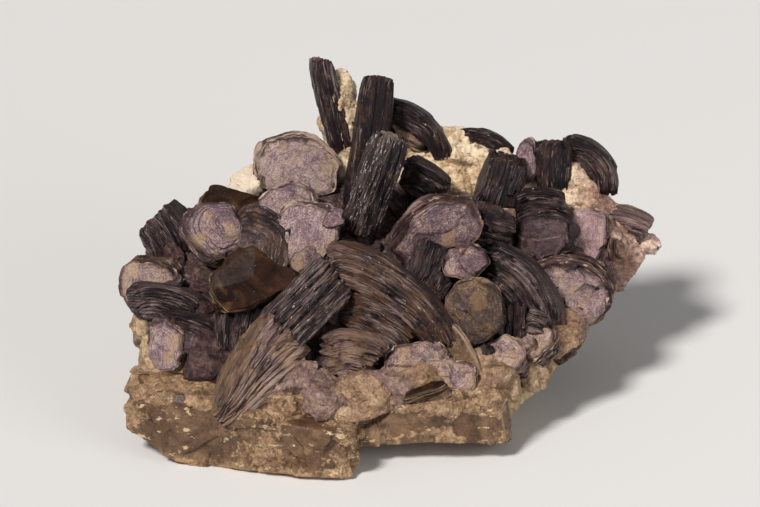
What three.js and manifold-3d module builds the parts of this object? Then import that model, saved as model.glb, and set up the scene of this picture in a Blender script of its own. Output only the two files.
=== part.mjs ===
// A cabinet specimen of lepidolite: curved books, discs and blades of lilac to plum mica,
// crowded over a lump of albite that stands on a slab of smoky quartz.
// Millimetres, +Z up, +X to the right; the crystals face -Y. The origin is in the flat underside.

import * as THREE from 'three';
import { mergeVertices } from 'three/addons/utils/BufferGeometryUtils.js';
import Module from 'manifold-3d';

// Driving dimensions, in millimetres and degrees
const VIEW_TILT = 25; // the crystals are laid out as seen from the front, looking down by this angle
const VIEW_DISTANCE = 1180; // and from this far away
const VIEW_CENTRE = new THREE.Vector3(0, 14, 39); // the point looked at
const SEAM = 0.3; // the gap between solids that touch
const RIM_WAVE = [0.05, 0.035, 0.025]; // how far an outline waves in and out, in 2, 3 and 5 lobes
const LEDGE = 0.09; // how far a packet of sheets stands back, as a share of the book's radius
const THICK_BOOK = 11; // a stack thicker than this shows three packets, others two
const STRONG_BEND = 36; // a crystal bent by more than this has an inner ring in its faces, to round them
const CAP_RING = 0.62; // where that ring lies, as a share of the face's radius
const ROCK_WOBBLE = 1.9; // how far the albite's corners are moved off its plain form
const SLOPE_BULGE = 3.2; // how far the albite's front slope swells

// The stone's colours. Each crystal names one of the first five.
const TONES = {
  lilac: { color: 0x8f7f8c, roughness: 0.45, metalness: 0.1 },
  mauve: { color: 0x9c8489, roughness: 0.5, metalness: 0.05 },
  plum: { color: 0x3a2a35, roughness: 0.4, metalness: 0.15 },
  tan: { color: 0x8a7460, roughness: 0.5, metalness: 0.05 },
  smoky: { color: 0x3d2a1c, roughness: 0.25, metalness: 0.05 },
  albite: { color: 0xd9c4a0, roughness: 0.8, metalness: 0 },
  quartz: { color: 0x77655a, roughness: 0.35, metalness: 0 },
};

// The crystals, nearest first: a name, a colour, where the middle shows in the tilted view's own axes (right,
// up and towards the viewer), a sheet's length and width with the stack's thickness, then how it is turned and
// formed. lean: how far the length turns counterclockwise from the right. open: 0 shows the stack's edge, 90 its
// face, over 90 a face that looks down, under 0 one that looks back. swing: how far the length tips away.
// bend: the arc that the length makes. fan: how much thicker the far end of the length is. dome: how far the
// middle of the front face stands out. corner: 2 is a round sheet, 6 nearly a rectangle. sides: how many flat
// sides an outline has. joins: the crystal that it grew through, with which it is one solid.
const CRYSTALS = [
  ['smoky_plate', 'smoky', [-35.8, -7.4, 30], [26, 20, 5], { open: 84, swing: 5, corner: 2.5 }],
  ['fluted_fan', 'tan', [-35.2, -34.2, 37], [35, 15, 14],
    { lean: 48, open: 20, swing: 18, fan: 0.65, bend: 14 }],
  ['fan_toe', 'lilac', [-24.4, -36, 36], [14, 10, 8],
    { lean: 50, open: 42, sides: 8, joins: 'fluted_fan' }],
  ['lump_left', 'lilac', [-15.4, -39.6, 38], [12.5, 11.5, 8], { open: 74, sides: 8 }],
  ['lump_right', 'tan', [-4.6, -38.6, 36], [14, 12, 10], { lean: -25, open: 40, sides: 8 }],
  ['low_dome', 'tan', [-7.8, -27.8, 31], [20, 13, 10], { lean: -8, open: 20, bend: 60 }],
  ['barrel_long', 'plum', [4.6, -9.8, 28], [44, 12, 9.8],
    { lean: -36, open: 10, bend: 52, fan: -0.15, corner: 4 }],
  ['striated_wedge', 'plum', [-21.3, -14.7, 29], [27, 14, 13], { lean: 46, open: 8, swing: 10, corner: 5 }],
  ['thin_sheet', 'smoky', [22.4, -28, 29.5], [18, 10, 1.8], { lean: -59, open: 128, corner: 4, sides: 8 }],
  ['disc_olive', 'tan', [26.3, -16.4, 25], [21, 18, 7], { lean: 108, open: 88 }],
  ['blade_mid', 'plum', [12.6, -3, 23], [15, 8, 6], { lean: 66, open: 20, corner: 5, sides: 8 }],
  ['blade_low', 'plum', [15.4, -8.8, 23], [10, 8, 5],
    { lean: 60, open: 8, corner: 5, sides: 8, joins: 'blade_mid' }],
  ['barrel_under', 'plum', [0.6, -18.2, 24], [28, 14, 10], { lean: -28, open: 10, bend: 35 }],
  ['low_face', 'lilac', [9.8, -32, 29], [20, 15, 9], { lean: 15, open: 70 }],
  ['low_sparkle', 'tan', [24, -33.4, 27], [16, 11, 9], { lean: 10, open: 55, sides: 8 }],
  ['blade_west', 'plum', [-43.4, -22.3, 27], [14, 9, 4], { lean: 88, open: 8, corner: 5, sides: 8 }],
  ['blade_east', 'plum', [-37.8, -21, 28], [15, 9, 6],
    { lean: 80, open: 8, corner: 5, sides: 8, joins: 'blade_west' }],
  ['plum_mass', 'plum', [-48.6, -32, 28], [20, 15, 13], { lean: 58, open: 50 }],
  ['left_plate', 'lilac', [-59.4, -25.6, 26], [16.5, 12, 6], { lean: 88, open: 72, corner: 2.6 }],
  ['disc_ridged', 'lilac', [-46.6, 5.6, 22], [18.5, 20.5, 6],
    { lean: 20, open: 82, swing: 12, sides: 10, dome: 2 }],
  ['disc_arched', 'plum', [-33.4, 3.2, 20], [21, 21, 6], { open: 84, swing: -8, sides: 10, dome: 4.5 }],
  ['disc_double', 'lilac', [-21, 4.8, 20], [24, 21.5, 6], { lean: 75, open: 85, sides: 10 }],
  ['double_rim', 'lilac', [-25.8, 12.6, 14], [18, 14, 5], { lean: 10, open: 70, joins: 'disc_double' }],
  ['left_shelf', 'plum', [-59.2, -13.4, 19], [24, 16, 8], { lean: -12, open: 12, bend: 60 }],
  ['left_shelf_low', 'plum', [-54.4, -20.4, 20], [23, 15, 8], { lean: -14, open: 10, bend: 35, sides: 8 }],
  ['left_disc', 'lilac', [-63.8, -8, 14], [19, 18, 8], { open: 106, swing: -15 }],
  ['column_front', 'plum', [-1.6, 19.4, 17], [34, 8.4, 8.2], { lean: 71, open: 35, swing: -16, corner: 6 }],
  ['lobe_mid', 'lilac', [23.5, -2.2, 19], [15, 12.5, 7], { open: 95 }],
  ['dark_post', 'plum', [36.7, -19.2, 19], [13, 10, 6], { lean: 88, open: 5, corner: 5, sides: 8 }],
  ['low_plum', 'plum', [30.8, -30, 25], [11, 9, 8], { lean: 60, open: 30, sides: 8 }],
  ['low_right', 'lilac', [38.8, -28.6, 19], [19, 13, 10], { lean: 22, open: 40 }],
  ['book_centre', 'lilac', [15, 6.8, 14], [31, 18, 12], { lean: 33, open: 108, sides: 10 }],
  ['dark_arch', 'plum', [40, -10.8, 13], [28, 16, 14], { lean: -52, open: 15, bend: 60 }],
  ['disc_smoky', 'smoky', [-42, 12.6, 12], [19, 13, 5], { lean: -10, open: 65 }],
  ['dark_mid', 'plum', [31.6, 6.3, 9], [13, 13, 10], { lean: -20, open: 20, sides: 8 }],
  ['left_back_book', 'plum', [-58.6, 5.4, 6], [17, 14, 12], { lean: -60, open: 25, bend: 30 }],
  ['wedge_dark', 'plum', [12.4, 20.6, 4], [16, 12, 8], { lean: -30, open: 20, bend: 30 }],
  ['barrel_upper', 'plum', [44.8, 8.6, 3], [18, 16, 14], { lean: 5, open: 130, corner: 3 }],
  ['book_right', 'lilac', [54, -9, 2], [26, 19, 12], { lean: -15, open: 112 }],
  ['disc_top', 'lilac', [-23.5, 24.3, 1], [26, 21, 9], { lean: -5, open: 97, sides: 10 }],
  ['column_back', 'plum', [-3.2, 27.6, 0], [46, 11, 8.4], { lean: 80, open: 5, bend: -12, corner: 4 }],
  ['face_mauve', 'mauve', [57.8, 4.2, -5], [20, 16, 9], { lean: 85, open: 78 }],
  ['dark_back', 'plum', [33.4, 20, -5], [18, 13, 10], { lean: 72, open: 15, corner: 4 }],
  ['spike', 'plum', [-13.9, 41.4, -6], [31, 8, 5.5], { lean: 103, open: 5, corner: 5, sides: 8 }],
  ['arch_top', 'plum', [11, 36.6, -7], [26, 11, 5], { lean: -38, open: 8, bend: 75 }],
  ['arch_inner', 'tan', [8.6, 33.4, -9], [17, 11, 6], { lean: -35, open: 62, joins: 'arch_top' }],
  ['knob', 'lilac', [41.7, 26, -11], [14, 8, 7], { lean: 88, open: 75, sides: 8 }],
  ['back_blade', 'plum', [48.4, 24.6, -11], [15, 11, 8.5], { lean: 88, open: 5, corner: 5, sides: 8 }],
  ['arch_right', 'plum', [60, 26.2, -15], [24, 11, 6], { lean: -45, open: 10, bend: 110 }],
  ['arc_top', 'plum', [29.8, 32.4, -11], [20, 9, 2.8], { lean: -20, open: 6, bend: 80, sides: 8 }],
  ['book_tip', 'plum', [68.6, 6.6, -15], [14, 11, 11], { lean: -15, open: 20, bend: 35, sides: 8 }],
  ['hidden_book', 'plum', [-50, 5.5, -3], [18, 14, 9], { lean: -15, open: 68, sides: 6 }],
  ['hidden_disc', 'lilac', [-35, 9, -1], [18, 14, 8],
    { lean: 12, open: 60, sides: 6, joins: 'hidden_book' }],
  ['left_end_book', 'lilac', [-64, -22, 8], [20, 16, 10], { open: 66, swing: -72, sides: 6 }],
  ['left_end_edge', 'plum', [-60, -12, -9], [21, 16, 10], { lean: 15, open: 52, swing: -120, sides: 6 }],
  ['rear_top_book', 'plum', [-25, 24.5, -15], [20, 15, 10], { lean: 8, open: -8, sides: 6 }],
  ['rear_left_plate', 'lilac', [-42, 4, -27], [21, 18, 8], { lean: 12, open: -52, sides: 6 }],
  ['rear_left_edge', 'plum', [-31, 9, -30], [19, 15, 8],
    { lean: -35, open: 6, sides: 6, joins: 'rear_left_plate' }],
  ['rear_mid_book', 'plum', [-9, 22, -29], [24, 18, 11], { lean: -18, open: -20, bend: 30 }],
  ['rear_mid_plate', 'lilac', [3, 14, -34], [18, 15, 8],
    { lean: 40, open: -62, sides: 6, joins: 'rear_mid_book' }],
  ['rear_right_book', 'lilac', [24, 17.5, -31], [22, 17, 10], { lean: 25, open: -38, sides: 6 }],
  ['rear_right_edge', 'plum', [36, 13, -32], [20, 14, 9],
    { lean: 62, open: 8, sides: 6, joins: 'rear_right_book' }],
  ['rear_low_book', 'plum', [-16, -5, -39], [22, 16, 10], { lean: -28, open: -12, sides: 6 }],
  ['rear_low_plate', 'lilac', [10, -4, -40], [17, 15, 8], { lean: 8, open: -66, sides: 6 }],
  ['rear_tip_book', 'plum', [52, 8, -30], [18, 13, 9], { lean: 60, open: -30, sides: 6 }],
];
const PLAIN = { lean: 0, open: 90, swing: 0, bend: 0, fan: 0, dome: 0, corner: 2.2, sides: 9 };

const wasm = await Module();
wasm.setup();

const radians = THREE.MathUtils.degToRad;

/** A repeatable number from 0 to 1 for each pair of whole numbers. */
function chance(seed, item) {
  const value = Math.sin(seed * 12.9898 + item * 78.233) * 43758.5453;
  return value - Math.floor(value);
}

/** A closed geometry as a solid, placed by a matrix. */
function toSolid(geometry, matrix) {
  const bare = new THREE.BufferGeometry();
  bare.setAttribute('position', geometry.getAttribute('position').clone());
  bare.setIndex(geometry.index);
  const merged = mergeVertices(bare, 1e-4);
  merged.applyMatrix4(matrix);
  const corners = merged.index.array;
  const faces = [];
  for (let i = 0; i < corners.length; i += 3) {
    const [a, b, c] = corners.slice(i, i + 3);
    if (a !== b && b !== c && c !== a) faces.push(a, b, c);
  }
  return new wasm.Manifold(new wasm.Mesh({
    numProp: 3,
    vertProperties: merged.getAttribute('position').array,
    triVerts: new Uint32Array(faces),
  }));
}

/** The largest body of a solid, without the chips that a cut can leave. */
function largestBody(solid) {
  return solid.decompose().reduce((best, body) => (body.volume() > best.volume() ? body : best));
}

/** A solid as a mesh of its own, in the local axes of a placing matrix. */
function toMesh(solid, name, tone, matrix) {
  const { vertProperties, triVerts } = solid.getMesh();
  const geometry = new THREE.BufferGeometry();
  geometry.setAttribute('position', new THREE.BufferAttribute(vertProperties, 3));
  geometry.setIndex(new THREE.BufferAttribute(triVerts, 1));
  geometry.applyMatrix4(matrix.clone().invert());
  geometry.computeVertexNormals();
  const mesh = new THREE.Mesh(geometry, new THREE.MeshStandardMaterial({ ...TONES[tone], flatShading: true }));
  mesh.name = name;
  matrix.decompose(mesh.position, mesh.quaternion, mesh.scale);
  return mesh;
}

/** How far a sheet reaches at an angle round it, as a share of half its length and width. */
function outline(angle, corner, seed) {
  const reach = (Math.abs(Math.cos(angle)) ** corner + Math.abs(Math.sin(angle)) ** corner) ** (-1 / corner);
  const lobes = [2, 3, 5];
  const waves = lobes.map((lobe, i) => RIM_WAVE[i] * Math.sin(lobe * angle + 2 * Math.PI * chance(seed, lobe)));
  return reach * waves.reduce((sum, wave) => sum + wave, 1);
}

/**
 * A crystal about its own middle: the length along X, the width along Y, the sheets stacked along Z. Grown, it
 * is the room that the crystal takes up, without its ledges.
 */
function crystalGeometry(crystal, grow) {
  const { seed, sides, corner, fan, dome } = crystal;
  const [length, width, thickness] = crystal.size.map((value) => value + 2 * grow);
  const [ownLength, , ownThickness] = crystal.size;
  const packets = grow > 0 ? 1 : 2 + (ownThickness > THICK_BOOK);
  const ledge = grow > 0 ? 0 : LEDGE;
  const rim = Array.from({ length: packets + 1 }, (_, i) =>
    [1 - ledge * chance(seed, 10 + i), i / packets - 0.5]);
  const inner = Math.abs(crystal.bend) < STRONG_BEND && dome === 0 ? [] : [CAP_RING];
  const front = [...inner, 0].map((radius) => [radius, 0.5 + (dome / thickness) * (1 - radius ** 2)]);
  const profile = [[0, -0.5], ...inner.map((radius) => [radius, -0.5]), ...rim, ...front];
  const geometry = new THREE.LatheGeometry(profile.map(([radius, z]) => new THREE.Vector2(radius, z)), sides);
  geometry.rotateX(Math.PI / 2);

  const places = geometry.getAttribute('position');
  const bend = radians(crystal.bend);
  const arcRadius = ownLength / (bend || 1);
  for (let i = 0; i < places.count; i += 1) {
    const angle = Math.atan2(places.getY(i), places.getX(i));
    const reach = Math.hypot(places.getX(i), places.getY(i)) * outline(angle, corner, seed);
    const along = (reach * Math.cos(angle) * length) / 2;
    const across = (reach * Math.sin(angle) * width) / 2;
    const height = places.getZ(i) * thickness * (1 + (fan * along) / (ownLength / 2));
    if (bend === 0) {
      places.setXYZ(i, along, across, height);
    } else {
      const turn = along / arcRadius;
      const radius = arcRadius + height;
      places.setXYZ(i, radius * Math.sin(turn), across, radius * Math.cos(turn) - arcRadius);
    }
  }
  return geometry;
}

/** Turns the tilted view's axes into the specimen's. */
const viewMatrix = new THREE.Matrix4()
  .makeRotationX(radians(90 - VIEW_TILT))
  .setPosition(VIEW_CENTRE);

/** Where a crystal stands in the specimen. What is nearer looks larger, so its place is drawn in to match. */
function crystalMatrix({ at: [right, up, near], lean, open, swing }) {
  const nearness = 1 - near / VIEW_DISTANCE;
  const turned = new THREE.Euler(radians(open - 90), radians(swing), radians(lean), 'ZYX');
  return new THREE.Matrix4()
    .makeRotationFromEuler(turned)
    .setPosition(right * nearness, up * nearness, near)
    .premultiply(viewMatrix);
}

// Albite: sections from left to right, each with its front foot, its ridge, its back and its underside.
const ALBITE_SECTIONS = [
  { x: -66, front: -26, foot: 17, ridge: [-8, 33], back: 8, under: 15 },
  { x: -60, front: -31, foot: 12, ridge: [2, 40], back: 26, under: 3 },
  { x: -48, front: -34, foot: 12, ridge: [10, 45], back: 36, under: 0 },
  { x: -34, front: -36, foot: 12, ridge: [20, 51], back: 43, under: 0 },
  { x: -20, front: -37, foot: 12, ridge: [28, 58], back: 45, under: 0 },
  { x: -6, front: -36, foot: 12, ridge: [34, 63], back: 48, under: 0 },
  { x: 8, front: -34, foot: 12, ridge: [38, 64], back: 49, under: 0 },
  { x: 22, front: -33, foot: 11, ridge: [40, 61], back: 47, under: 0 },
  { x: 34, front: -27, foot: 11, ridge: [40, 58], back: 48, under: 0 },
  { x: 44, front: -12, foot: 17, ridge: [40, 56], back: 47, under: 11 },
  { x: 54, front: 0, foot: 24, ridge: [37, 53], back: 46, under: 18 },
  { x: 63, front: 10, foot: 29, ridge: [33, 48], back: 43, under: 24 },
  { x: 70, front: 20, foot: 31, ridge: [31, 41], back: 38, under: 27 },
];

// Albite lumps that stand out of the crystals and of the back: where each shows, as for the crystals, and its
// half sizes.
const ALBITE_LUMPS = [
  { at: [-37.5, 13.4, -1], reach: [6.5, 11.5, 8] },
  { at: [-10.6, 37, -9], reach: [6.5, 15, 7] },
  { at: [12.5, 30.6, -14], reach: [10, 6, 7] },
  { at: [21, 29, -12], reach: [6.5, 8, 8] },
  { at: [31, 25, -12], reach: [9.5, 7, 8] },
  { at: [53.5, 18.4, -13], reach: [7.5, 9, 8] },
  { at: [66.5, -0.5, -16], reach: [7.5, 10.5, 9] },
  { at: [74, 2.6, -16], reach: [5.5, 2.6, 3.5] },
  { at: [-66, -19.5, 14], reach: [4.5, 5.5, 6] },
  { at: [-56, 1, -15], reach: [11, 10, 11] },
  { at: [-20, 5, -34], reach: [14, 12, 12] },
  { at: [22, -14, -40], reach: [15, 11, 12] },
  { at: [44, 0, -33], reach: [12, 10, 11] },
];
const LUMP_WOBBLE = 0.16; // how far a lump's corners are moved, as a share of its half size

// Quartz: the slab's outline in plan, with the step between its two blocks.
const QUARTZ_PLAN = [
  [-64, -14], [-68, -26], [-70, -32.5], [-66, -35.5], [-58, -38.5], [-46, -41.5], [-34, -44], [-20, -46.5],
  [-9, -49], [-7, -47.5], [-7.5, -38.5], [2, -38], [14, -39], [25, -37.5], [33, -36.5], [35, -31], [34, -20],
  [33, -8], [-58, -8],
];
const QUARTZ_TOP = 21;
const QUARTZ_BEVEL = 2;
const QUARTZ_WOBBLE = 0.6; // how far its corners are moved off the plain form
// Where it is broken away along a sloping face: the face's middle, the size of what is gone, the turn about
// X and Y, and whether that lies below the face or above it.
const QUARTZ_BREAKS = [
  { at: [16.5, -28.75, 3.4], size: [48, 26, 10], turn: [-18, 0], side: -1 },
  { at: [-63, -30, 4.5], size: [24, 60, 10], turn: [0, 25], side: -1 },
  { at: [-67.5, -30, 16.5], size: [16, 60, 10], turn: [0, -32], side: 1 },
  { at: [-27, -46, 16.5], size: [48, 14, 12], turn: [0, 9], side: 1 },
];

/** Moves each corner of a closed geometry a little, the same way each time, and keeps a flat underside flat. */
function roughen(geometry, amount, seed) {
  const bare = new THREE.BufferGeometry();
  bare.setAttribute('position', geometry.getAttribute('position'));
  bare.setIndex(geometry.index);
  const merged = mergeVertices(bare, 1e-3);
  const places = merged.getAttribute('position');
  for (let i = 0; i < places.count; i += 1) {
    const [x, y, z] = [0, 1, 2].map((axis) => amount * (2 * chance(seed + axis, i) - 1));
    const onFloor = Math.abs(places.getZ(i)) < 0.5;
    places.setXYZ(i, places.getX(i) + x, places.getY(i) + y, places.getZ(i) + (onFloor ? 0 : z));
  }
  return merged;
}

/** An albite section's corners, back to front distance and height, counterclockwise from the right. */
function albiteRing({ front, foot, ridge: [ridgeY, ridgeZ], back, under }, grow) {
  const slope = (share) => [
    front + (ridgeY - front) * share - SLOPE_BULGE * Math.sin(Math.PI * share),
    foot + (ridgeZ - foot) * share + SLOPE_BULGE * Math.sin(Math.PI * share),
  ];
  const middle = [(front + back) / 2, (ridgeZ + under) / 2];
  const ring = [
    [front + 5, under], [middle[0], under], [back - 3, under],
    [back + 1, under + (ridgeZ - under) * 0.35], [back, under + (ridgeZ - under) * 0.72],
    [ridgeY + 4, ridgeZ - 2], [ridgeY - 3, ridgeZ],
    slope(0.7), slope(0.4), slope(0.08), [front, foot - 5],
  ];
  return ring.map(([y, z]) => {
    const share = 1 + grow / Math.hypot(y - middle[0], z - middle[1]);
    return [middle[0] + (y - middle[0]) * share, middle[1] + (z - middle[1]) * share];
  });
}

/** The albite's main body: a cylinder along X whose rings take the shapes of the sections. */
function albiteBody(grow) {
  const rings = ALBITE_SECTIONS.map((section) => albiteRing(section, grow));
  const corners = rings[0].length;
  const last = rings.length - 1;
  const geometry = new THREE.CylinderGeometry(1, 1, 1, corners, last);
  const places = geometry.getAttribute('position');
  for (let i = 0; i < places.count; i += 1) {
    const station = Math.round((places.getY(i) + 0.5) * last);
    const ring = rings[station];
    const onAxis = Math.hypot(places.getX(i), places.getZ(i)) < 0.5;
    const turn = Math.atan2(places.getX(i), places.getZ(i)) / (2 * Math.PI);
    const [y, z] = onAxis
      ? [0, 1].map((axis) => ring.reduce((sum, point) => sum + point[axis], 0) / corners)
      : ring[(Math.round(turn * corners) + corners) % corners];
    const endGrow = (station === last) * grow - (station === 0) * grow;
    places.setXYZ(i, ALBITE_SECTIONS[station].x + endGrow, y, z);
  }
  return roughen(geometry, ROCK_WOBBLE, 500);
}

/** A blocky lump of albite about its own middle, with its half sizes along the view's axes. */
function lumpGeometry(reach, seed, grow) {
  const geometry = roughen(new THREE.DodecahedronGeometry(1), LUMP_WOBBLE, seed);
  return geometry.scale(...reach.map((value) => value + grow));
}

/** The quartz slab before it broke, standing on Z 0. */
function quartzGeometry(grow) {
  const plan = new THREE.Shape(QUARTZ_PLAN.map(([x, y]) => new THREE.Vector2(x, y)));
  const geometry = new THREE.ExtrudeGeometry(plan, {
    depth: QUARTZ_TOP - 2 * QUARTZ_BEVEL,
    bevelThickness: QUARTZ_BEVEL + grow,
    bevelSize: QUARTZ_BEVEL,
    bevelOffset: grow - QUARTZ_BEVEL,
    bevelSegments: 1,
  });
  geometry.translate(0, 0, QUARTZ_BEVEL);
  return roughen(geometry, QUARTZ_WOBBLE, 800);
}

/** The box of stone that a break takes away. */
function breakSolid({ at, size, turn: [aboutX, aboutY], side }) {
  const box = new THREE.BoxGeometry(...size).translate(0, 0, (side * size[2]) / 2);
  const turned = new THREE.Euler(radians(aboutX), radians(aboutY), 0);
  return toSolid(box, new THREE.Matrix4().makeRotationFromEuler(turned).setPosition(...at));
}

const plain = new THREE.Matrix4();

/** The quartz slab with its breaks. */
function quartzSolid() {
  const slab = toSolid(quartzGeometry(0), plain);
  return QUARTZ_BREAKS.reduce((solid, gap) => solid.subtract(breakSolid(gap)), slab);
}

/** The albite with its lumps, cut off flat where it rests. */
function albiteSolid(grow) {
  const lumps = ALBITE_LUMPS.map(({ at, reach }, i) =>
    toSolid(lumpGeometry(reach, 600 + 7 * i, grow), crystalMatrix({ ...PLAIN, at })));
  const floor = toSolid(new THREE.BoxGeometry(300, 300, 100).translate(0, 0, -50), plain);
  return lumps.reduce((solid, lump) => solid.add(lump), toSolid(albiteBody(grow), plain)).subtract(floor);
}

/** A crystal with those that grew through it, as one solid. */
function crystalSolid(members, grow) {
  const solids = members.map((crystal) => toSolid(crystalGeometry(crystal, grow), crystalMatrix(crystal)));
  return solids.reduce((whole, solid) => whole.add(solid));
}

const specimen = new THREE.Group();
const quartzRoom = toSolid(quartzGeometry(SEAM), plain);
specimen.add(toMesh(quartzSolid(), 'quartz_slab', 'quartz', plain));
specimen.add(toMesh(largestBody(albiteSolid(0).subtract(quartzRoom)), 'albite_matrix', 'albite', plain));

// Each crystal ends where it meets the rock and the crystals in front of it.
const crystals = CRYSTALS.map(([name, tone, at, size, form], seed) =>
  ({ ...PLAIN, ...form, name, tone, at, size, seed }));
let taken = albiteSolid(SEAM).add(quartzRoom);
for (const crystal of crystals.filter(({ joins }) => joins === undefined)) {
  const members = [crystal, ...crystals.filter(({ joins }) => joins === crystal.name)];
  const solid = largestBody(crystalSolid(members, 0).subtract(taken));
  specimen.add(toMesh(solid, crystal.name, crystal.tone, crystalMatrix(crystal)));
  taken = taken.add(crystalSolid(members, SEAM));
}

export default specimen;
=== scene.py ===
"""A cabinet specimen of lepidolite on albite and smoky quartz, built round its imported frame.

Every crystal is rebuilt where its solid stands, as a fine stack of mica sheets. The rock is the frame's own
rock, weathered. Sizes are in millimetres and turn into metres where a mesh is made.
"""

import itertools
import math
from types import SimpleNamespace

import bmesh
import bpy
import numpy as np
from mathutils import Euler, Matrix, Vector


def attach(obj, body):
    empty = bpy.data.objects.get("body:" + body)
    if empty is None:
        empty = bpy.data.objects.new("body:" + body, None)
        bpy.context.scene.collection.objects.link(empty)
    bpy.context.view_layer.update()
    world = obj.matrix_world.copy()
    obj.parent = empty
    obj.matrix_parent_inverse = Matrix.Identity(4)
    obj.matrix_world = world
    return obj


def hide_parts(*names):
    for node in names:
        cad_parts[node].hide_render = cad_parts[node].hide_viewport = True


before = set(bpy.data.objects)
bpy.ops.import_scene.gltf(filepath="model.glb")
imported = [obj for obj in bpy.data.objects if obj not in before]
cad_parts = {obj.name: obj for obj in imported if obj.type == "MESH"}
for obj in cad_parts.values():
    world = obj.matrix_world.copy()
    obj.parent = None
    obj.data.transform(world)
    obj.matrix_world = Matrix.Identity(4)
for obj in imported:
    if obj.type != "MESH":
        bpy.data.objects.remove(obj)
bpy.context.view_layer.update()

# The view that the crystals are laid out in, as in the solids
VIEW_TILT = 25  # degrees that it looks down by
VIEW_DISTANCE = 1180
VIEW_CENTRE = Vector((0, 14, 39))
FRAME_WIDTH = 212.8  # how much of the specimen's middle the picture's width takes in
SENSOR = 36
RIM_WAVES = ((2, 0.05), (3, 0.035), (5, 0.025))  # how many lobes an outline waves in, and how far
LEDGE = 0.09  # how far a packet of sheets stands back, as a share of the book's radius
THICK_BOOK = 11  # a stack thicker than this shows three packets, others two

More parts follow.
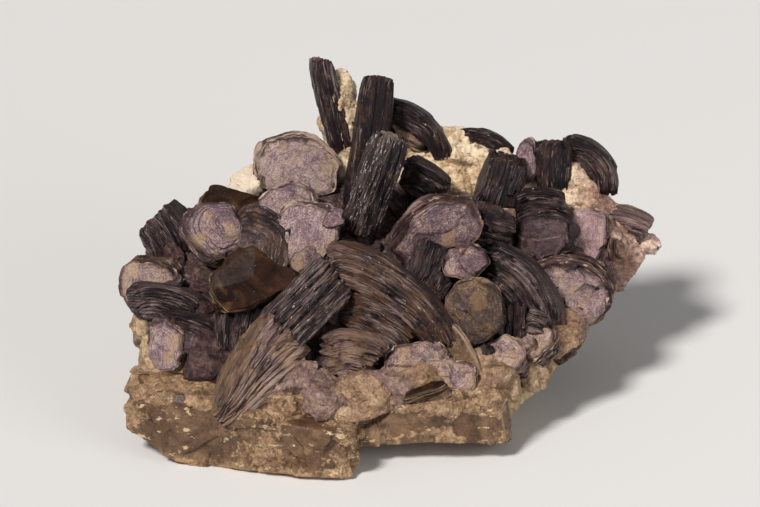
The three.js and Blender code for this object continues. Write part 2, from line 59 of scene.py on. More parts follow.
# The crystals of the solids: a name, a colour, where the middle shows (right, up and towards the viewer), a
# sheet's length and width with the stack's thickness, and how it is turned and formed. lean, open and swing
# turn it about the line of sight, its own length and its own width, and bend bends it along its length, in
# degrees. fan is how much thicker one end is, dome how high the face swells, and corner how square the
# outline is. joins names the solid that it is part of.
CRYSTALS = [
    ("smoky_plate", "smoky", (-35.8, -7.4, 30), (26, 20, 5), dict(open=84, swing=5, corner=2.5)),
    ("fluted_fan", "tan", (-35.2, -34.2, 37), (35, 15, 14),
     dict(lean=48, open=20, swing=18, fan=0.65, bend=14)),
    ("fan_toe", "lilac", (-24.4, -36, 36), (14, 10, 8), dict(lean=50, open=42, joins="fluted_fan")),
    ("lump_left", "lilac", (-15.4, -39.6, 38), (12.5, 11.5, 8), dict(open=74)),
    ("lump_right", "tan", (-4.6, -38.6, 36), (14, 12, 10), dict(lean=-25, open=40)),
    ("low_dome", "tan", (-7.8, -27.8, 31), (20, 13, 10), dict(lean=-8, open=20, bend=60)),
    ("barrel_long", "plum", (4.6, -9.8, 28), (44, 12, 9.8),
     dict(lean=-36, open=10, bend=52, fan=-0.15, corner=4)),
    ("striated_wedge", "plum", (-21.3, -14.7, 29), (27, 14, 13), dict(lean=46, open=8, swing=10, corner=5)),
    ("thin_sheet", "smoky", (22.4, -28, 29.5), (18, 10, 1.8), dict(lean=-59, open=128, corner=4)),
    ("disc_olive", "tan", (26.3, -16.4, 25), (21, 18, 7), dict(lean=108, open=88)),
    ("blade_mid", "plum", (12.6, -3, 23), (15, 8, 6), dict(lean=66, open=20, corner=5)),
    ("blade_low", "plum", (15.4, -8.8, 23), (10, 8, 5), dict(lean=60, open=8, corner=5, joins="blade_mid")),
    ("barrel_under", "plum", (0.6, -18.2, 24), (28, 14, 10), dict(lean=-28, open=10, bend=35)),
    ("low_face", "lilac", (9.8, -32, 29), (20, 15, 9), dict(lean=15, open=70)),
    ("low_sparkle", "tan", (24, -33.4, 27), (16, 11, 9), dict(lean=10, open=55)),
    ("blade_west", "plum", (-43.4, -22.3, 27), (14, 9, 4), dict(lean=88, open=8, corner=5)),
    ("blade_east", "plum", (-37.8, -21, 28), (15, 9, 6),
     dict(lean=80, open=8, corner=5, joins="blade_west")),
    ("plum_mass", "plum", (-48.6, -32, 28), (20, 15, 13), dict(lean=58, open=50)),
    ("left_plate", "lilac", (-59.4, -25.6, 26), (16.5, 12, 6), dict(lean=88, open=72, corner=2.6)),
    ("disc_ridged", "lilac", (-46.6, 5.6, 22), (18.5, 20.5, 6), dict(lean=20, open=82, swing=12, dome=2)),
    ("disc_arched", "plum", (-33.4, 3.2, 20), (21, 21, 6), dict(open=84, swing=-8, dome=4.5)),
    ("disc_double", "lilac", (-21, 4.8, 20), (24, 21.5, 6), dict(lean=75, open=85)),
    ("double_rim", "lilac", (-25.8, 12.6, 14), (18, 14, 5), dict(lean=10, open=70, joins="disc_double")),
    ("left_shelf", "plum", (-59.2, -13.4, 19), (24, 16, 8), dict(lean=-12, open=12, bend=60)),
    ("left_shelf_low", "plum", (-54.4, -20.4, 20), (23, 15, 8), dict(lean=-14, open=10, bend=35)),
    ("left_disc", "lilac", (-63.8, -8, 14), (19, 18, 8), dict(open=106, swing=-15)),
    ("column_front", "plum", (-1.6, 19.4, 17), (34, 8.4, 8.2), dict(lean=71, open=35, swing=-16, corner=6)),
    ("lobe_mid", "lilac", (23.5, -2.2, 19), (15, 12.5, 7), dict(open=95)),
    ("dark_post", "plum", (36.7, -19.2, 19), (13, 10, 6), dict(lean=88, open=5, corner=5)),
    ("low_plum", "plum", (30.8, -30, 25), (11, 9, 8), dict(lean=60, open=30)),
    ("low_right", "lilac", (38.8, -28.6, 19), (19, 13, 10), dict(lean=22, open=40)),
    ("book_centre", "lilac", (15, 6.8, 14), (31, 18, 12), dict(lean=33, open=108)),
    ("dark_arch", "plum", (40, -10.8, 13), (28, 16, 14), dict(lean=-52, open=15, bend=60)),
    ("disc_smoky", "smoky", (-42, 12.6, 12), (19, 13, 5), dict(lean=-10, open=65)),
    ("dark_mid", "plum", (31.6, 6.3, 9), (13, 13, 10), dict(lean=-20, open=20)),
    ("left_back_book", "plum", (-58.6, 5.4, 6), (17, 14, 12), dict(lean=-60, open=25, bend=30)),
    ("wedge_dark", "plum", (12.4, 20.6, 4), (16, 12, 8), dict(lean=-30, open=20, bend=30)),
    ("barrel_upper", "plum", (44.8, 8.6, 3), (18, 16, 14), dict(lean=5, open=130, corner=3)),
    ("book_right", "lilac", (54, -9, 2), (26, 19, 12), dict(lean=-15, open=112)),
    ("disc_top", "lilac", (-23.5, 24.3, 1), (26, 21, 9), dict(lean=-5, open=97)),
    ("column_back", "plum", (-3.2, 27.6, 0), (46, 11, 8.4), dict(lean=80, open=5, bend=-12, corner=4)),
    ("face_mauve", "mauve", (57.8, 4.2, -5), (20, 16, 9), dict(lean=85, open=78)),
    ("dark_back", "plum", (33.4, 20, -5), (18, 13, 10), dict(lean=72, open=15, corner=4)),
    ("spike", "plum", (-13.9, 41.4, -6), (31, 8, 5.5), dict(lean=103, open=5, corner=5)),
    ("arch_top", "plum", (11, 36.6, -7), (26, 11, 5), dict(lean=-38, open=8, bend=75)),
    ("arch_inner", "tan", (8.6, 33.4, -9), (17, 11, 6), dict(lean=-35, open=62, joins="arch_top")),
    ("knob", "lilac", (41.7, 26, -11), (14, 8, 7), dict(lean=88, open=75)),
    ("back_blade", "plum", (48.4, 24.6, -11), (15, 11, 8.5), dict(lean=88, open=5, corner=5)),
    ("arch_right", "plum", (60, 26.2, -15), (24, 11, 6), dict(lean=-45, open=10, bend=110)),
    ("arc_top", "plum", (29.8, 32.4, -11), (20, 9, 2.8), dict(lean=-20, open=6, bend=80)),
    ("book_tip", "plum", (68.6, 6.6, -15), (14, 11, 11), dict(lean=-15, open=20, bend=35)),
    ("hidden_book", "plum", (-50, 5.5, -3), (18, 14, 9), dict(lean=-15, open=68)),
    ("hidden_disc", "lilac", (-35, 9, -1), (18, 14, 8), dict(lean=12, open=60, joins="hidden_book")),
    ("left_end_book", "lilac", (-63.5, -22, 8), (17, 14, 6), dict(open=66, swing=-72)),
    ("left_end_edge", "plum", (-60, -12, -9), (21, 16, 10), dict(lean=15, open=52, swing=-120)),
    ("rear_top_book", "plum", (-25, 24.5, -15), (20, 15, 10), dict(lean=8, open=-8)),
    ("rear_left_plate", "lilac", (-42, 4, -27), (21, 18, 8), dict(lean=12, open=-52)),
    ("rear_left_edge", "plum", (-31, 9, -30), (19, 15, 8), dict(lean=-35, open=6, joins="rear_left_plate")),
    ("rear_mid_book", "plum", (-9, 22, -29), (24, 18, 11), dict(lean=-18, open=-20, bend=30)),
    ("rear_mid_plate", "lilac", (3, 14, -34), (18, 15, 8), dict(lean=40, open=-62, joins="rear_mid_book")),
    ("rear_right_book", "lilac", (24, 17.5, -31), (22, 17, 10), dict(lean=25, open=-38)),
    ("rear_right_edge", "plum", (36, 13, -32), (20, 14, 9), dict(lean=62, open=8, joins="rear_right_book")),
    ("rear_low_book", "plum", (-16, -5, -39), (22, 16, 10), dict(lean=-28, open=-12)),
    ("rear_low_plate", "lilac", (10, -4, -40), (17, 15, 8), dict(lean=8, open=-66)),
    ("rear_tip_book", "plum", (52, 8, -30), (18, 13, 9), dict(lean=60, open=-30)),
]
PLAIN = dict(lean=0, open=90, swing=0, bend=0, fan=0, dome=0, corner=2.2, joins=None)

# How a book's surface is worked
SHEET = 0.38  # thickness of a packet of sheets that shows as one line on a book's side
FACE_STEP = 0.5  # distance between rings of points on a face
RIM_STEP = 0.8  # distance between points round a rim
AROUND = (18, 100)  # the fewest and the most points round a rim
PACKETS = (4, 32)  # the fewest and the most packets of sheets in a stack
FRONT_RINGS = (6, 22)  # the fewest and the most rings of points on a front face
BACK_RINGS = 5
COARSER = 1.6  # how many times as far apart the points are on small books and at the back
COARSE_KINDS = ("filler", "rear", "hidden")  # the first words of those books' names
PLATE = 1.9  # thickness of the plates that a book splits into, each broken off along its own lines
BREAKS = (5, 2)  # how many straight breaks cut a whole stack's rim, and how many each plate's
BEVEL = 0.9  # how far a face steps down to its rim
BEVEL_STEPS = 4
ROUNDING = 0.035  # how much smaller the outermost sheets are, as a share
RING = 0.16  # the height of strong growth rings
RINGS = 13  # how closely growth rings follow each other on the way out to the rim
CROWN = 2.2  # how far the middle of a glassy face stands up
LINES_SLANT = 0.8  # how much the lines along a fluted side slant
LINES_CROWD = 2.5  # how much closer the lines of a terraced face are
TIP_FADE = 0.8  # over what distance a crystal's pale far end, worn and painted lit where it faces up, fades out
TIP_PALE_REACH = 3.2  # and how many times as far in it reaches

# Each kind of unevenness: its own number, which keeps it unlike the others, how far one wave or facet of it
# reaches (along the sheet, across it and through the stack), and for a rough kind in how many sizes it comes
NOISES = dict(run=(40, (11, 11, 0.8)), chips=(50, (2.2, 2.2, 1.0)), blocks=(55, (4.5, 4.5, 2.4)),
              shelves=(57, (7, 7, 1.1)), warp=(60, 11, 2), ragged=(70, 3.5, 3), grit=(75, 1.6, 3),
              wave=(77, 5), rings=(80, 1), facet=(85, 6), flutes=(88, (26, 1.3, 1), 2), stain=(95, 2.5, 3))

# How a broken lump is worked
BALL_STEPS = (4, 5)  # how fine a small and a large lump's mesh is
LUMP_SIDES = 16  # how many flat breaks it has
LUMP_DRAWS = np.array((0, 350, 700, 1050))  # where the draws of their directions and depths start
LUMP_CUT = 0.62  # how near to its middle the deepest of them comes, as a share of its reach
LUMP_MOST = 1.15  # and the furthest that anything stands out
LUMP_SWELL = 1.12  # how much larger it is than its solid before it is broken
LUMP_SHIFT = 31.7  # how far apart two lumps' grains are taken from
LUMP_GRAINS = ((0.6, 0.17), (0.22, 0.08))  # its grains' sizes and depths, as shares
LUMP_GRIT = (0.9, 0.1)  # the size and the depth of its grit

# What a crystal's surface does unless LOOKS says otherwise, in millimetres and in shares of a sheet's reach.
# Its side. splinter, block, shelf, chip: how far plates, lumps, plates' ends and chips stand back. cut: what
# straight breaks take off. trims: single straight sides, each with the direction it faces and what it takes
# off. slant: how much more they take off the lower sheets. warp: how far the sheets are bent out of flat.
# Its face. steps, step, arcs: how many sheets end part way across it, how high they are, and the middle that
# they run round. bevel: where it starts to step down to its rim. terrace: how high a domed face's ledges are.
# eye: where the growth rings close in. grit, ridge, facet, flutes: how strong roughness, rings, facets and
# grooves are. planes: a glassy face's flat sides, each with the direction it faces and its slope.
# Its colours. stain: how tan it is. patches: stained spots, each with its place, reach and strength. pale,
# edge: how light its face and its side are, edge with more painted highlights along the side. tip: how light
# its far end is, worn and with painted light on the end that faces up. sweep: how much lighter it gets along
# its length. grade: how much lighter a side gets towards the front. glint: how many painted glints and
# painted highlight hairs it has. shade: the tone, where it isn't the solid's own.
# lump: whether it is broken all round, with no sheets left.
COMMON = dict(splinter=0.3, block=0.45, shelf=0.12, chip=0.8, cut=0.1, trims=(), slant=0, warp=0.6,
              steps=2, step=0.35, arcs=None, bevel=0.8, terrace=0, eye=(0, 0), grit=0.16, ridge=0.3, facet=0,
              flutes=0, planes=(), stain=0, patches=(), pale=0, edge=0, tip=0, sweep=0, grade=0, glint=0,
              shade=None, lump=False)


def like(look, **changes):
    """A look that differs from another in some words."""
    return {**look, **changes}


FLUTED = dict(flutes=0.16, bevel=0.9, warp=0.3, splinter=0.4, block=0.3, cut=0.06, shelf=0.28)
CALM = like(FLUTED, shelf=0.1, splinter=0.25, block=0.2)
POST = dict(splinter=0.12, warp=0.1, block=0.1, cut=0.02, chip=0.3, flutes=0.16, trims=((0, 0.04),))
GLASSY_PLATE = dict(splinter=0.12, steps=0, grit=0.04, ridge=0, bevel=0.95)
FOOT = dict(steps=3, facet=1.3, ridge=0.4, stain=0.4, pale=0.7, edge=1.5, block=0.8)

LOOKS = dict(
    smoky_plate=like(GLASSY_PLATE, block=0.3, cut=0.06, planes=((128, 0.3), (38, 0.3), (262, 0.26)),
                     patches=((-8.5, -5.5, 4.5, 1.1),), trims=((58, 0.24), (-62, 0.26), (132, 0.16))),
    disc_smoky=like(GLASSY_PLATE, block=0.2, planes=((140, 0.22), (60, 0.15), (250, 0.1)),
                    patches=((5, 0, 5, 0.3),)),
    shard=like(GLASSY_PLATE, splinter=0.05, block=0.1, chip=0.2, grit=0.03),
    thin_sheet=dict(splinter=0.05, block=0, chip=0.3, steps=1, grit=0, ridge=0.2, bevel=0.93, pale=-0.6,
                    edge=9, stain=0.3, shade="tan"),
    disc_ridged=dict(steps=3, step=0.3, arcs=(0.5, -0.1), ridge=1.1, eye=(0.45, 0.12), edge=0.5, terrace=0.4,
                     patches=((-5.5, -1, 3.2, 0.8), (4, -0.5, 2.2, 0.6))),
    disc_double=dict(steps=1, ridge=0.25, pale=2.2, bevel=0.9, edge=3, cut=0.08, grit=0.25,
                     patches=((-1, -7.5, 3.5, 0.6), (-8, -4, 3.5, 0.5))),
    double_rim=dict(edge=1.5, pale=0.6),
    disc_arched=dict(steps=3, step=0.45, arcs=(-0.5, -0.7), ridge=1, bevel=0.2, eye=(-0.35, -0.5), edge=-0.5,
                     pale=-0.6, terrace=0.55, stain=0.25, patches=((-1, 7.5, 1.5, 1.2),)),
    disc_olive=dict(ridge=0.7, pale=-4.2, bevel=0.9, edge=-3, grit=0.2, facet=0.8, sweep=3.4, eye=(0.2, 0),
                    patches=((2.5, -2, 3.5, 0.9),)),
    disc_top=dict(steps=4, step=0.5, arcs=(0.5, -0.8), eye=(0.35, -0.35), pale=1.9, edge=7, bevel=0.75,
                  patches=((9, 2, 4, 0.6),)),
    left_disc=dict(ridge=0.2, stain=0.4, edge=0.3, bevel=0.85, pale=3.2),
    left_plate=dict(ridge=0.6, eye=(-0.6, 0), edge=0.5, pale=1.6,
                    patches=((1, -3.2, 2.6, 1.4), (-3.5, -1.5, 2, 1.2))),
    left_end_book=dict(stain=0.4, pale=1, shade="tan"),
    book_centre=dict(steps=3, arcs=(0.3, 0.9), bevel=0.85, ridge=0.6, pale=-1.2,
                     patches=((2, -3, 3.5, 0.7),)),
    book_right=dict(steps=3, facet=2, stain=0.1, pale=1.8, patches=((-6, -2, 3.5, 0.6),)),
    book_tip=like(FLUTED, edge=1.8, shade="mauve"),
    face_mauve=dict(steps=1, ridge=0.4, eye=(-0.9, 0), grit=0.06, bevel=0.9, edge=1, pale=0.2),
    knob=dict(ridge=0.2, edge=1),
    eye_lobe=dict(steps=0, ridge=0.8, pale=1.4, edge=1.5),
    tan_lobe=dict(steps=1, stain=0.5, edge=1),
    lobe_mid=dict(facet=1.2, stain=0.1, ridge=0.4, pale=0.3),
    low_dome=dict(block=0.5, splinter=0.5, shelf=0.4, grit=0.3, bevel=0.5, flutes=0.2, edge=2.4, stain=0.35,
                  shade="mauve"),
    fluted_fan=dict(block=0.4, splinter=0.6, shelf=0.45, warp=0.5, grit=0.2, flutes=0.4, edge=1.6, grade=-5.5,
                    stain=0.5, shade="mauve"),
    striated_wedge=dict(splinter=0.6, shelf=0.3, warp=0.25, block=0.4, cut=0.05, flutes=0.2, edge=0.9,
                        glint=6, grade=1.5),
    column_front=like(POST, splinter=0.5, warp=0.15, block=0.2, shelf=0.3, flutes=0.2, edge=-2.6, tip=1,
                      glint=14, grade=0.5, trims=((0, 0.05),)),
    column_back=like(POST, splinter=0.15, edge=-5),
    spike=like(POST, edge=-1.4, tip=0.6, slant=0.16),
    barrel_long=like(FLUTED, shelf=0.4, stain=0.3, edge=-0.8, glint=3, sweep=-4.2,
                     patches=((-16, 0, 9, 0.6),)),
    barrel_under=like(FLUTED, stain=0.4, edge=1.6),
    barrel_upper=dict(pale=4.4, edge=-1.2, facet=1.2, sweep=2.4),
    dark_arch=like(FLUTED, edge=0.2, glint=3, sweep=1.6, patches=((11, 0, 6, 0.5),)),
    arch_inner=dict(ridge=1, eye=(-0.5, -0.8), pale=1.2),
    small_block=dict(flutes=0.16, edge=3, glint=2),
)

# How light the sides of other fluted and calm crystals are, and which look the same
FLUTED_EDGES = dict(left_back_book=-1.4, left_shelf=1.2, left_shelf_low=0.6, dark_mid=-1, dark_post=-1.5,
                    wedge_dark=-1.8, blade_west=-1, blade_east=0, blade_mid=0, blade_low=0, low_plum=0)
CALM_EDGES = dict(dark_back=-2.6, back_blade=-3.8, arch_right=-2.8, arc_top=-2.6, arch_top=-2)
FEET = ("low_face", "low_right", "foot_face_1", "foot_face_2", "foot_face_3")
LUMPS = ("lump_left", "lump_right", "low_sparkle", "fan_toe", "plum_mass")
LOOKS |= {name: like(FLUTED, edge=edge) for name, edge in FLUTED_EDGES.items()}
LOOKS |= {name: like(CALM, edge=edge) for name, edge in CALM_EDGES.items()}
LOOKS |= dict.fromkeys(FEET, FOOT) | dict.fromkeys(LUMPS, dict(lump=True))


def look_of(name):
    """How a crystal looks, from its name."""
    return {**COMMON, **LOOKS.get(name, {})}


def chance(seed, item):
    """The solids' own repeatable number from 0 to 1 for each pair of whole numbers."""
    value = math.sin(seed * 12.9898 + item * 78.233) * 43758.5453
    return value - math.floor(value)


def lattice(cells, seed):
    """A repeatable number from -1 to 1 for each whole-number point."""
    mix = cells[..., 0] * 374761393 + cells[..., 1] * 668265263 + cells[..., 2] * 1440662683
    mix = mix + seed * 1274126177
    mix = (mix ^ (mix >> 13)) & 0xFFFFFFFF
    mix = (mix * 1103515245) & 0xFFFFFFFF
    mix = ((mix ^ (mix >> 15)) * 668265263) & 0xFFFFFFFF
    return ((mix ^ (mix >> 16)) & 0xFFFFFF) / 0x7FFFFF - 1.0


def smooth_noise(points, seed):
    """Smooth noise from -1 to 1 at points given in cell units."""
    cells = np.floor(points).astype(np.int64)
    part = points - cells
    part = part * part * (3 - 2 * part)
    total = np.zeros(points.shape[:-1])
    for corner in itertools.product((0, 1), repeat=3):
        weight = np.prod(np.where(np.array(corner), part, 1 - part), axis=-1)
        total += weight * lattice(cells + np.array(corner), seed)
    return total


def rough_noise(points, seed, octaves=3):
    """Noise with finer and finer detail, from about -1 to 1."""
    total, share = 0, 0.55
    for octave in range(octaves):
        total = total + share * smooth_noise(points * 2 ** octave + 17.3 * octave, seed + octave)
        share *= 0.5
    return total


def facets(points, seed):
    """Rock broken into flat facets: how far points stand out, in cell units, and their facets' numbers."""
    cells = np.floor(points).astype(np.int64)
    nearest = np.full(points.shape[0], 1e9)
    height = np.zeros(points.shape[0])
    own = np.zeros(points.shape[0])
    for step in itertools.product((-1, 0, 1), repeat=3):
        cell = cells + np.array(step)
        jitter = np.stack([lattice(cell, seed + axis) for axis in range(3)], axis=-1)
        away = points - (cell + 0.5 + 0.45 * jitter)
        distance = np.einsum("ij,ij->i", away, away)
        slope = np.stack([lattice(cell, seed + 5 + axis) for axis in range(3)], axis=-1)
        closer = distance < nearest
        number = lattice(cell, seed + 9)
        height = np.where(closer, np.einsum("ij,ij->i", away, slope) + 0.35 * number, height)
        own = np.where(closer, number, own)
        nearest = np.where(closer, distance, nearest)
    return height, own


def xyz(x, y, z=0.0):
    """Points from their coordinates, each of which may be a grid or one number."""
    return np.stack(np.broadcast_arrays(x, y, z), axis=-1).astype(float)


def direction(angle):
    """One step along a sheet at an angle in radians."""
    return np.array([math.cos(angle), math.sin(angle)])


def outline(angle, corner, seed):
    """How far a sheet reaches at an angle round it, as a share of half its length and width."""
    reach = (np.abs(np.cos(angle)) ** corner + np.abs(np.sin(angle)) ** corner) ** (-1 / corner)
    waves = [depth * np.sin(lobes * angle + 2 * math.pi * chance(seed, lobes)) for lobes, depth in RIM_WAVES]
    return reach * (1 + sum(waves))


class Book:
    """One crystal: rings of points up its side, and faces of rings that close in on the middle."""

    def __init__(self, crystal):
        self.form = crystal
        self.look = look_of(crystal["name"])
        self.seed = crystal["seed"]
        length, width, self.thickness = crystal["size"]
        self.radius = min(length, width) / 2
        self.coarse = COARSER if crystal["name"].split("_")[0] in COARSE_KINDS else 1
        self.around = int(np.clip(math.pi * (length + width) / 2 / RIM_STEP / self.coarse, *AROUND))
        self.packets = int(np.clip(self.thickness / SHEET / self.coarse, *PACKETS))
        angles = np.linspace(0, 2 * math.pi, self.around, endpoint=False)
        reach = outline(angles, crystal["corner"], self.seed)
        self.rim = np.stack([reach * np.cos(angles) * length / 2, reach * np.sin(angles) * width / 2], -1)
        self.reach = np.linalg.norm(self.rim, axis=1)
        self.eye = np.array(self.look["eye"]) * self.radius

    def own(self, *items):
        """This crystal's repeatable number from 0 to 1 for some whole numbers, which say what it is for."""
        return 0.5 + 0.5 * lattice(np.array([*items, 0, 0][:3]), self.seed)

    def noise(self, points, kind, shift=0):
        """This crystal's own noise of one kind, from about -1 to 1. The shift gives it another course."""
        number, cell, *sizes = NOISES[kind]
        make = rough_noise if sizes else smooth_noise
        return make(points / cell, self.seed + number + shift, *sizes)

    def facets(self, points, kind, warp=0):
        """This crystal's own facets of one kind, bent by a warp: their heights and their numbers."""
        number, cell = NOISES[kind]
        return facets(points / cell + warp, self.seed + number)

    def side_share(self, level):
        """How wide the stack is at a level from -0.5 to 0.5, as a share of the sheet."""
        packs = 2 + (self.thickness > THICK_BOOK)
        levels = [i / packs - 0.5 for i in range(packs + 1)]
        ledges = [1 - LEDGE * chance(self.seed, 10 + i) for i in range(packs + 1)]
        return np.interp(level, levels, ledges) + ROUNDING * 0.5 - ROUNDING * abs(2 * level) ** 5

    def straight(self, angle, share):
        """How far one straight side takes the rim in, which takes off a share of the reach that way."""
        along = self.rim @ direction(angle)
        return np.clip((along - (1 - share) * along.max()) * self.reach / np.maximum(along, 1e-3), 0, None)

    def cuts(self, count, group, share):
        """How far a group of straight breaks takes the rim in."""
        inset = np.zeros(self.around)
        for i in range(count):
            angle = 2 * math.pi * self.own(i, group, 1)
            inset = np.maximum(inset, self.straight(angle, share * (0.3 + self.own(i, group, 2))))
        return np.clip(inset, 0, 0.35 * self.radius)

    def plate(self, packet):
        """Which plate a packet of sheets belongs to. The plates are thicker and thinner by turns."""
        level = packet * self.thickness / self.packets / PLATE
        return int(level + 0.7 * self.own(5) + 0.3 * math.sin(2.3 * level + 6 * self.own(11)))

    def inset(self, packet):
        """How far a packet stands back round its rim, in millimetres."""
        look, plate = self.look, self.plate(packet)
        side = xyz(self.rim[:, 0], self.rim[:, 1], packet * self.thickness / self.packets)
        run = self.noise(side, "run")
        chips = np.clip(self.noise(side, "chips") - 0.4, 0, 1)
        blocks = self.facets(side, "blocks", 0.25 * run[:, None])[0]
        shelves = self.facets(side, "shelves", 0.2 * run[:, None])[1]
        split = 0.5 * (self.own(packet, 6) > 0.86)
        back = 1.6 * self.own(plate, 12) + 0.5 * self.own(packet, 3) ** 2 + 0.4 * run
        slant = look["slant"] * max(0, 1 - 2 * packet / self.packets)
        trimmed = [self.straight(math.radians(turn), share + slant) for turn, share in look["trims"]]
        cuts = [self.cuts(BREAKS[0], 0, look["cut"]), self.cuts(BREAKS[1], 1 + plate, 1.3 * look["cut"])]
        return (split + look["splinter"] * back + look["block"] * (0.5 + blocks)
                + look["shelf"] * (1 + shelves) + 1.6 * look["chip"] * chips + np.max(cuts, axis=0)
                + np.max([np.zeros(self.around), *trimmed], axis=0))

    def breaks(self, flat, ragged, side):
        """Sheets that end part way across a face: how far they step down, and where their edges show."""
        look = self.look
        height, edges = np.zeros(len(flat)), np.zeros(len(flat))
        for i in range(look["steps"]):
            if look["arcs"]:
                centre = np.array(look["arcs"])
                bow = (i + 0.25 + 0.5 * self.own(i, 8, side)) / look["steps"]
                bow *= 0.95 + np.linalg.norm(centre)
            else:
                bow = 0.8 + 2.5 * self.own(i, 8, side)
                centre = (0.65 * self.own(i, 9, side) - bow) * direction(2 * math.pi * self.own(i, 7, side))
            beyond = np.linalg.norm(flat / self.reach.mean() - centre, axis=1) - bow + 0.16 * ragged
            height -= look["step"] * (0.4 + self.own(i, 10, side)) * np.clip(beyond / 0.05, 0, 1)
            shown = np.exp(-((beyond - 0.03) / 0.035) ** 2)
            edges = np.maximum(edges, shown * np.clip(0.4 + 1.5 * ragged, 0, 1))
        return height, edges

    def relief(self, flat, share, side):
        """At places on a face, at a share of the way out to its rim: how far it stands up, how much of a
        sheet's edge shows, and how much of its rim."""
        look, ground = self.look, xyz(flat[..., 0], flat[..., 1], 5.0 * side)
        ragged = self.noise(ground, "ragged")
        height, edges = self.breaks(flat, ragged, side)
        bevel = np.clip((share - look["bevel"]) / (1.001 - look["bevel"]) + 0.5 * ragged, 0, 1)
        bevel = bevel * (share > look["bevel"] - 0.15)
        height += BEVEL * (1 - np.floor(bevel * BEVEL_STEPS) / BEVEL_STEPS)
        grit, wave = self.noise(ground, "grit"), 0.5 * self.noise(ground, "wave")
        rings = self.noise(xyz(share * RINGS + wave, 0.5, 0.5), "rings", side)
        broken = self.facets(ground, "facet")[0] if look["facet"] else 0
        fade = np.clip((1 - share) * 14, 0, 1)
        height = fade * (height + look["grit"] * grit + RING * look["ridge"] * rings + look["facet"] * broken)
        if side:
            height += self.dome(share, ragged)
            if look["planes"]:
                height += fade * self.crown(flat)
        if look["flutes"]:
            height += look["flutes"] * self.noise(ground, "flutes")
            bevel = np.ones(len(flat))
        return height, fade * edges, np.clip(1.3 * bevel, 0, 1)

    def dome(self, share, ragged):
        """How far a domed face stands up at a share of the way out to its rim, in ledges if it has any."""
        rise = self.form["dome"] * (1 - share ** 2)
        terrace = self.look["terrace"]
        if not terrace:
            return rise
        steps = rise / terrace + 0.6 * ragged
        whole = np.floor(steps)
        return np.clip(terrace * (whole + np.clip(4 * (steps - whole), 0, 1)), 0, None)

    def crown(self, flat):
        """How far flat glassy faces stand up, at places on the sheet."""
        planes = self.look["planes"]
        rises = [CROWN - slope * (flat @ direction(math.radians(turn))) for turn, slope in planes]
        return np.clip(np.min(rises, axis=0), 0, None)

    def place(self, flat, height):
        """Sheet places and heights turned into the bent crystal's own space."""
        length = self.form["size"][0]
        along, across = flat[..., 0], flat[..., 1]
        warp = self.noise(xyz(along, across), "warp")
        height = (height + self.look["warp"] * warp) * (1 + self.form["fan"] * along / (length / 2))
        if self.form["bend"] == 0:
            return xyz(along, across, height)
        arc_radius = length / math.radians(self.form["bend"])
        turn, reach = along / arc_radius, arc_radius + height
        return xyz(reach * np.sin(turn), across, reach * np.cos(turn) - arc_radius)

    def side_rings(self):
        """The rings up the side, two for each packet: places, heights, share of the reach, rim and crest."""
        jitter = [0.7 * (self.own(i, 1, 1) - 0.5) for i in range(self.packets + 1)]
        jitter[0] = jitter[-1] = 0
        levels = [(i + moved) / self.packets - 0.5 for i, moved in enumerate(jitter)]
        rows, ones = [], np.ones(self.around)
        for packet in range(self.packets):
            low, high = levels[packet], levels[packet + 1]
            inset = self.inset(packet)
            share = self.side_share((low + high) / 2) - inset / self.reach
            flat = self.rim * share[:, None]
            stands = 0.4 * (1 - 2 * self.own(packet, 3)) + 0.8 * (1 - 2 * self.own(self.plate(packet), 12))
            # How far a packet stands out: the material gives it painted light, and painted shade where set
            # back
            crest = np.clip((inset.mean() - inset) / 0.6 + stands, -1, 1)
            for level in (low, high):
                rows.append((flat, level * self.thickness * ones, share, ones, crest))
        return rows

    def face_rings(self, first, side):
        """The rings of the back face, side 0, or the front face, side 1, from its rim in to its middle."""
        count = BACK_RINGS
        if side:
            step = FACE_STEP * self.coarse
            count = int(np.clip(min(self.form["size"][:2]) / 2 / step, *FRONT_RINGS))
        rows = []
        for i in range(1, count):
            share = (1 - i / count) ** 0.8
            flat = first[0] * share + self.eye * (1 - share) * side
            height, edges, rim = self.relief(flat, np.full(self.around, share), side)
            # On a face, crest is minus where broken sheets' edges show, which the material paints as painted
            # shadow
            rows.append((flat, first[1] + (1 if side else -1) * height, first[2] * share, rim, -edges))
        return rows

    def stain(self, sheet):
        """How far places on the sheets are stained tan."""
        amount = np.full(len(sheet), float(self.look["stain"]))
        for x, y, reach, strength in self.look["patches"]:
            away = np.hypot(sheet[:, 0] - x, sheet[:, 1] - y) / reach + 0.5 * self.noise(sheet, "stain")
            amount += strength * np.clip(1.6 - 1.6 * away, 0, 1)
        return amount

    def build(self):
        """The closed shape in the crystal's own axes: its points, its faces, and what the materials read."""
        rows = self.side_rings()
        rows = self.face_rings(rows[0], 0)[::-1] + rows + self.face_rings(rows[-1], 1)
        flat, height, share, rim, crest = (np.stack([row[i] for row in rows]) for i in range(5))
        ends = [self.place(self.eye * side, np.array(height[-side].mean())) for side in (0, 1)]
        points = np.vstack([self.place(flat, height).reshape(-1, 3), ends])
        start = np.arange(self.around)
        after = (start + 1) % self.around
        first = np.arange(len(rows) - 1)[:, None] * self.around
        corners = (first + start, first + after, first + self.around + after, first + self.around + start)
        quads = np.stack(corners, -1).reshape(-1, 4)
        bottom, last = len(rows) * self.around, (len(rows) - 1) * self.around
        fans = np.concatenate([np.stack([np.full_like(start, bottom), after, start], -1),
                               np.stack([np.full_like(start, bottom + 1), last + start, last + after], -1)])
        sheet = np.vstack([xyz(flat[..., 0], flat[..., 1], height).reshape(-1, 3),
                           [(0, 0, height[0].mean()), (0, 0, height[-1].mean())]])
        if self.look["flutes"]:
            sheet[:, 2] += sheet[:, 1] * LINES_SLANT
        if self.look["terrace"]:
            sheet[:, 2] *= LINES_CROWD
        reads = dict(ring=share, rim=rim, crest=crest)
        reads = {key: np.append(value.ravel(), (0, 0)) for key, value in reads.items()}
        return points, quads, fans, {**reads, **self.colours(sheet), "sheet": sheet}

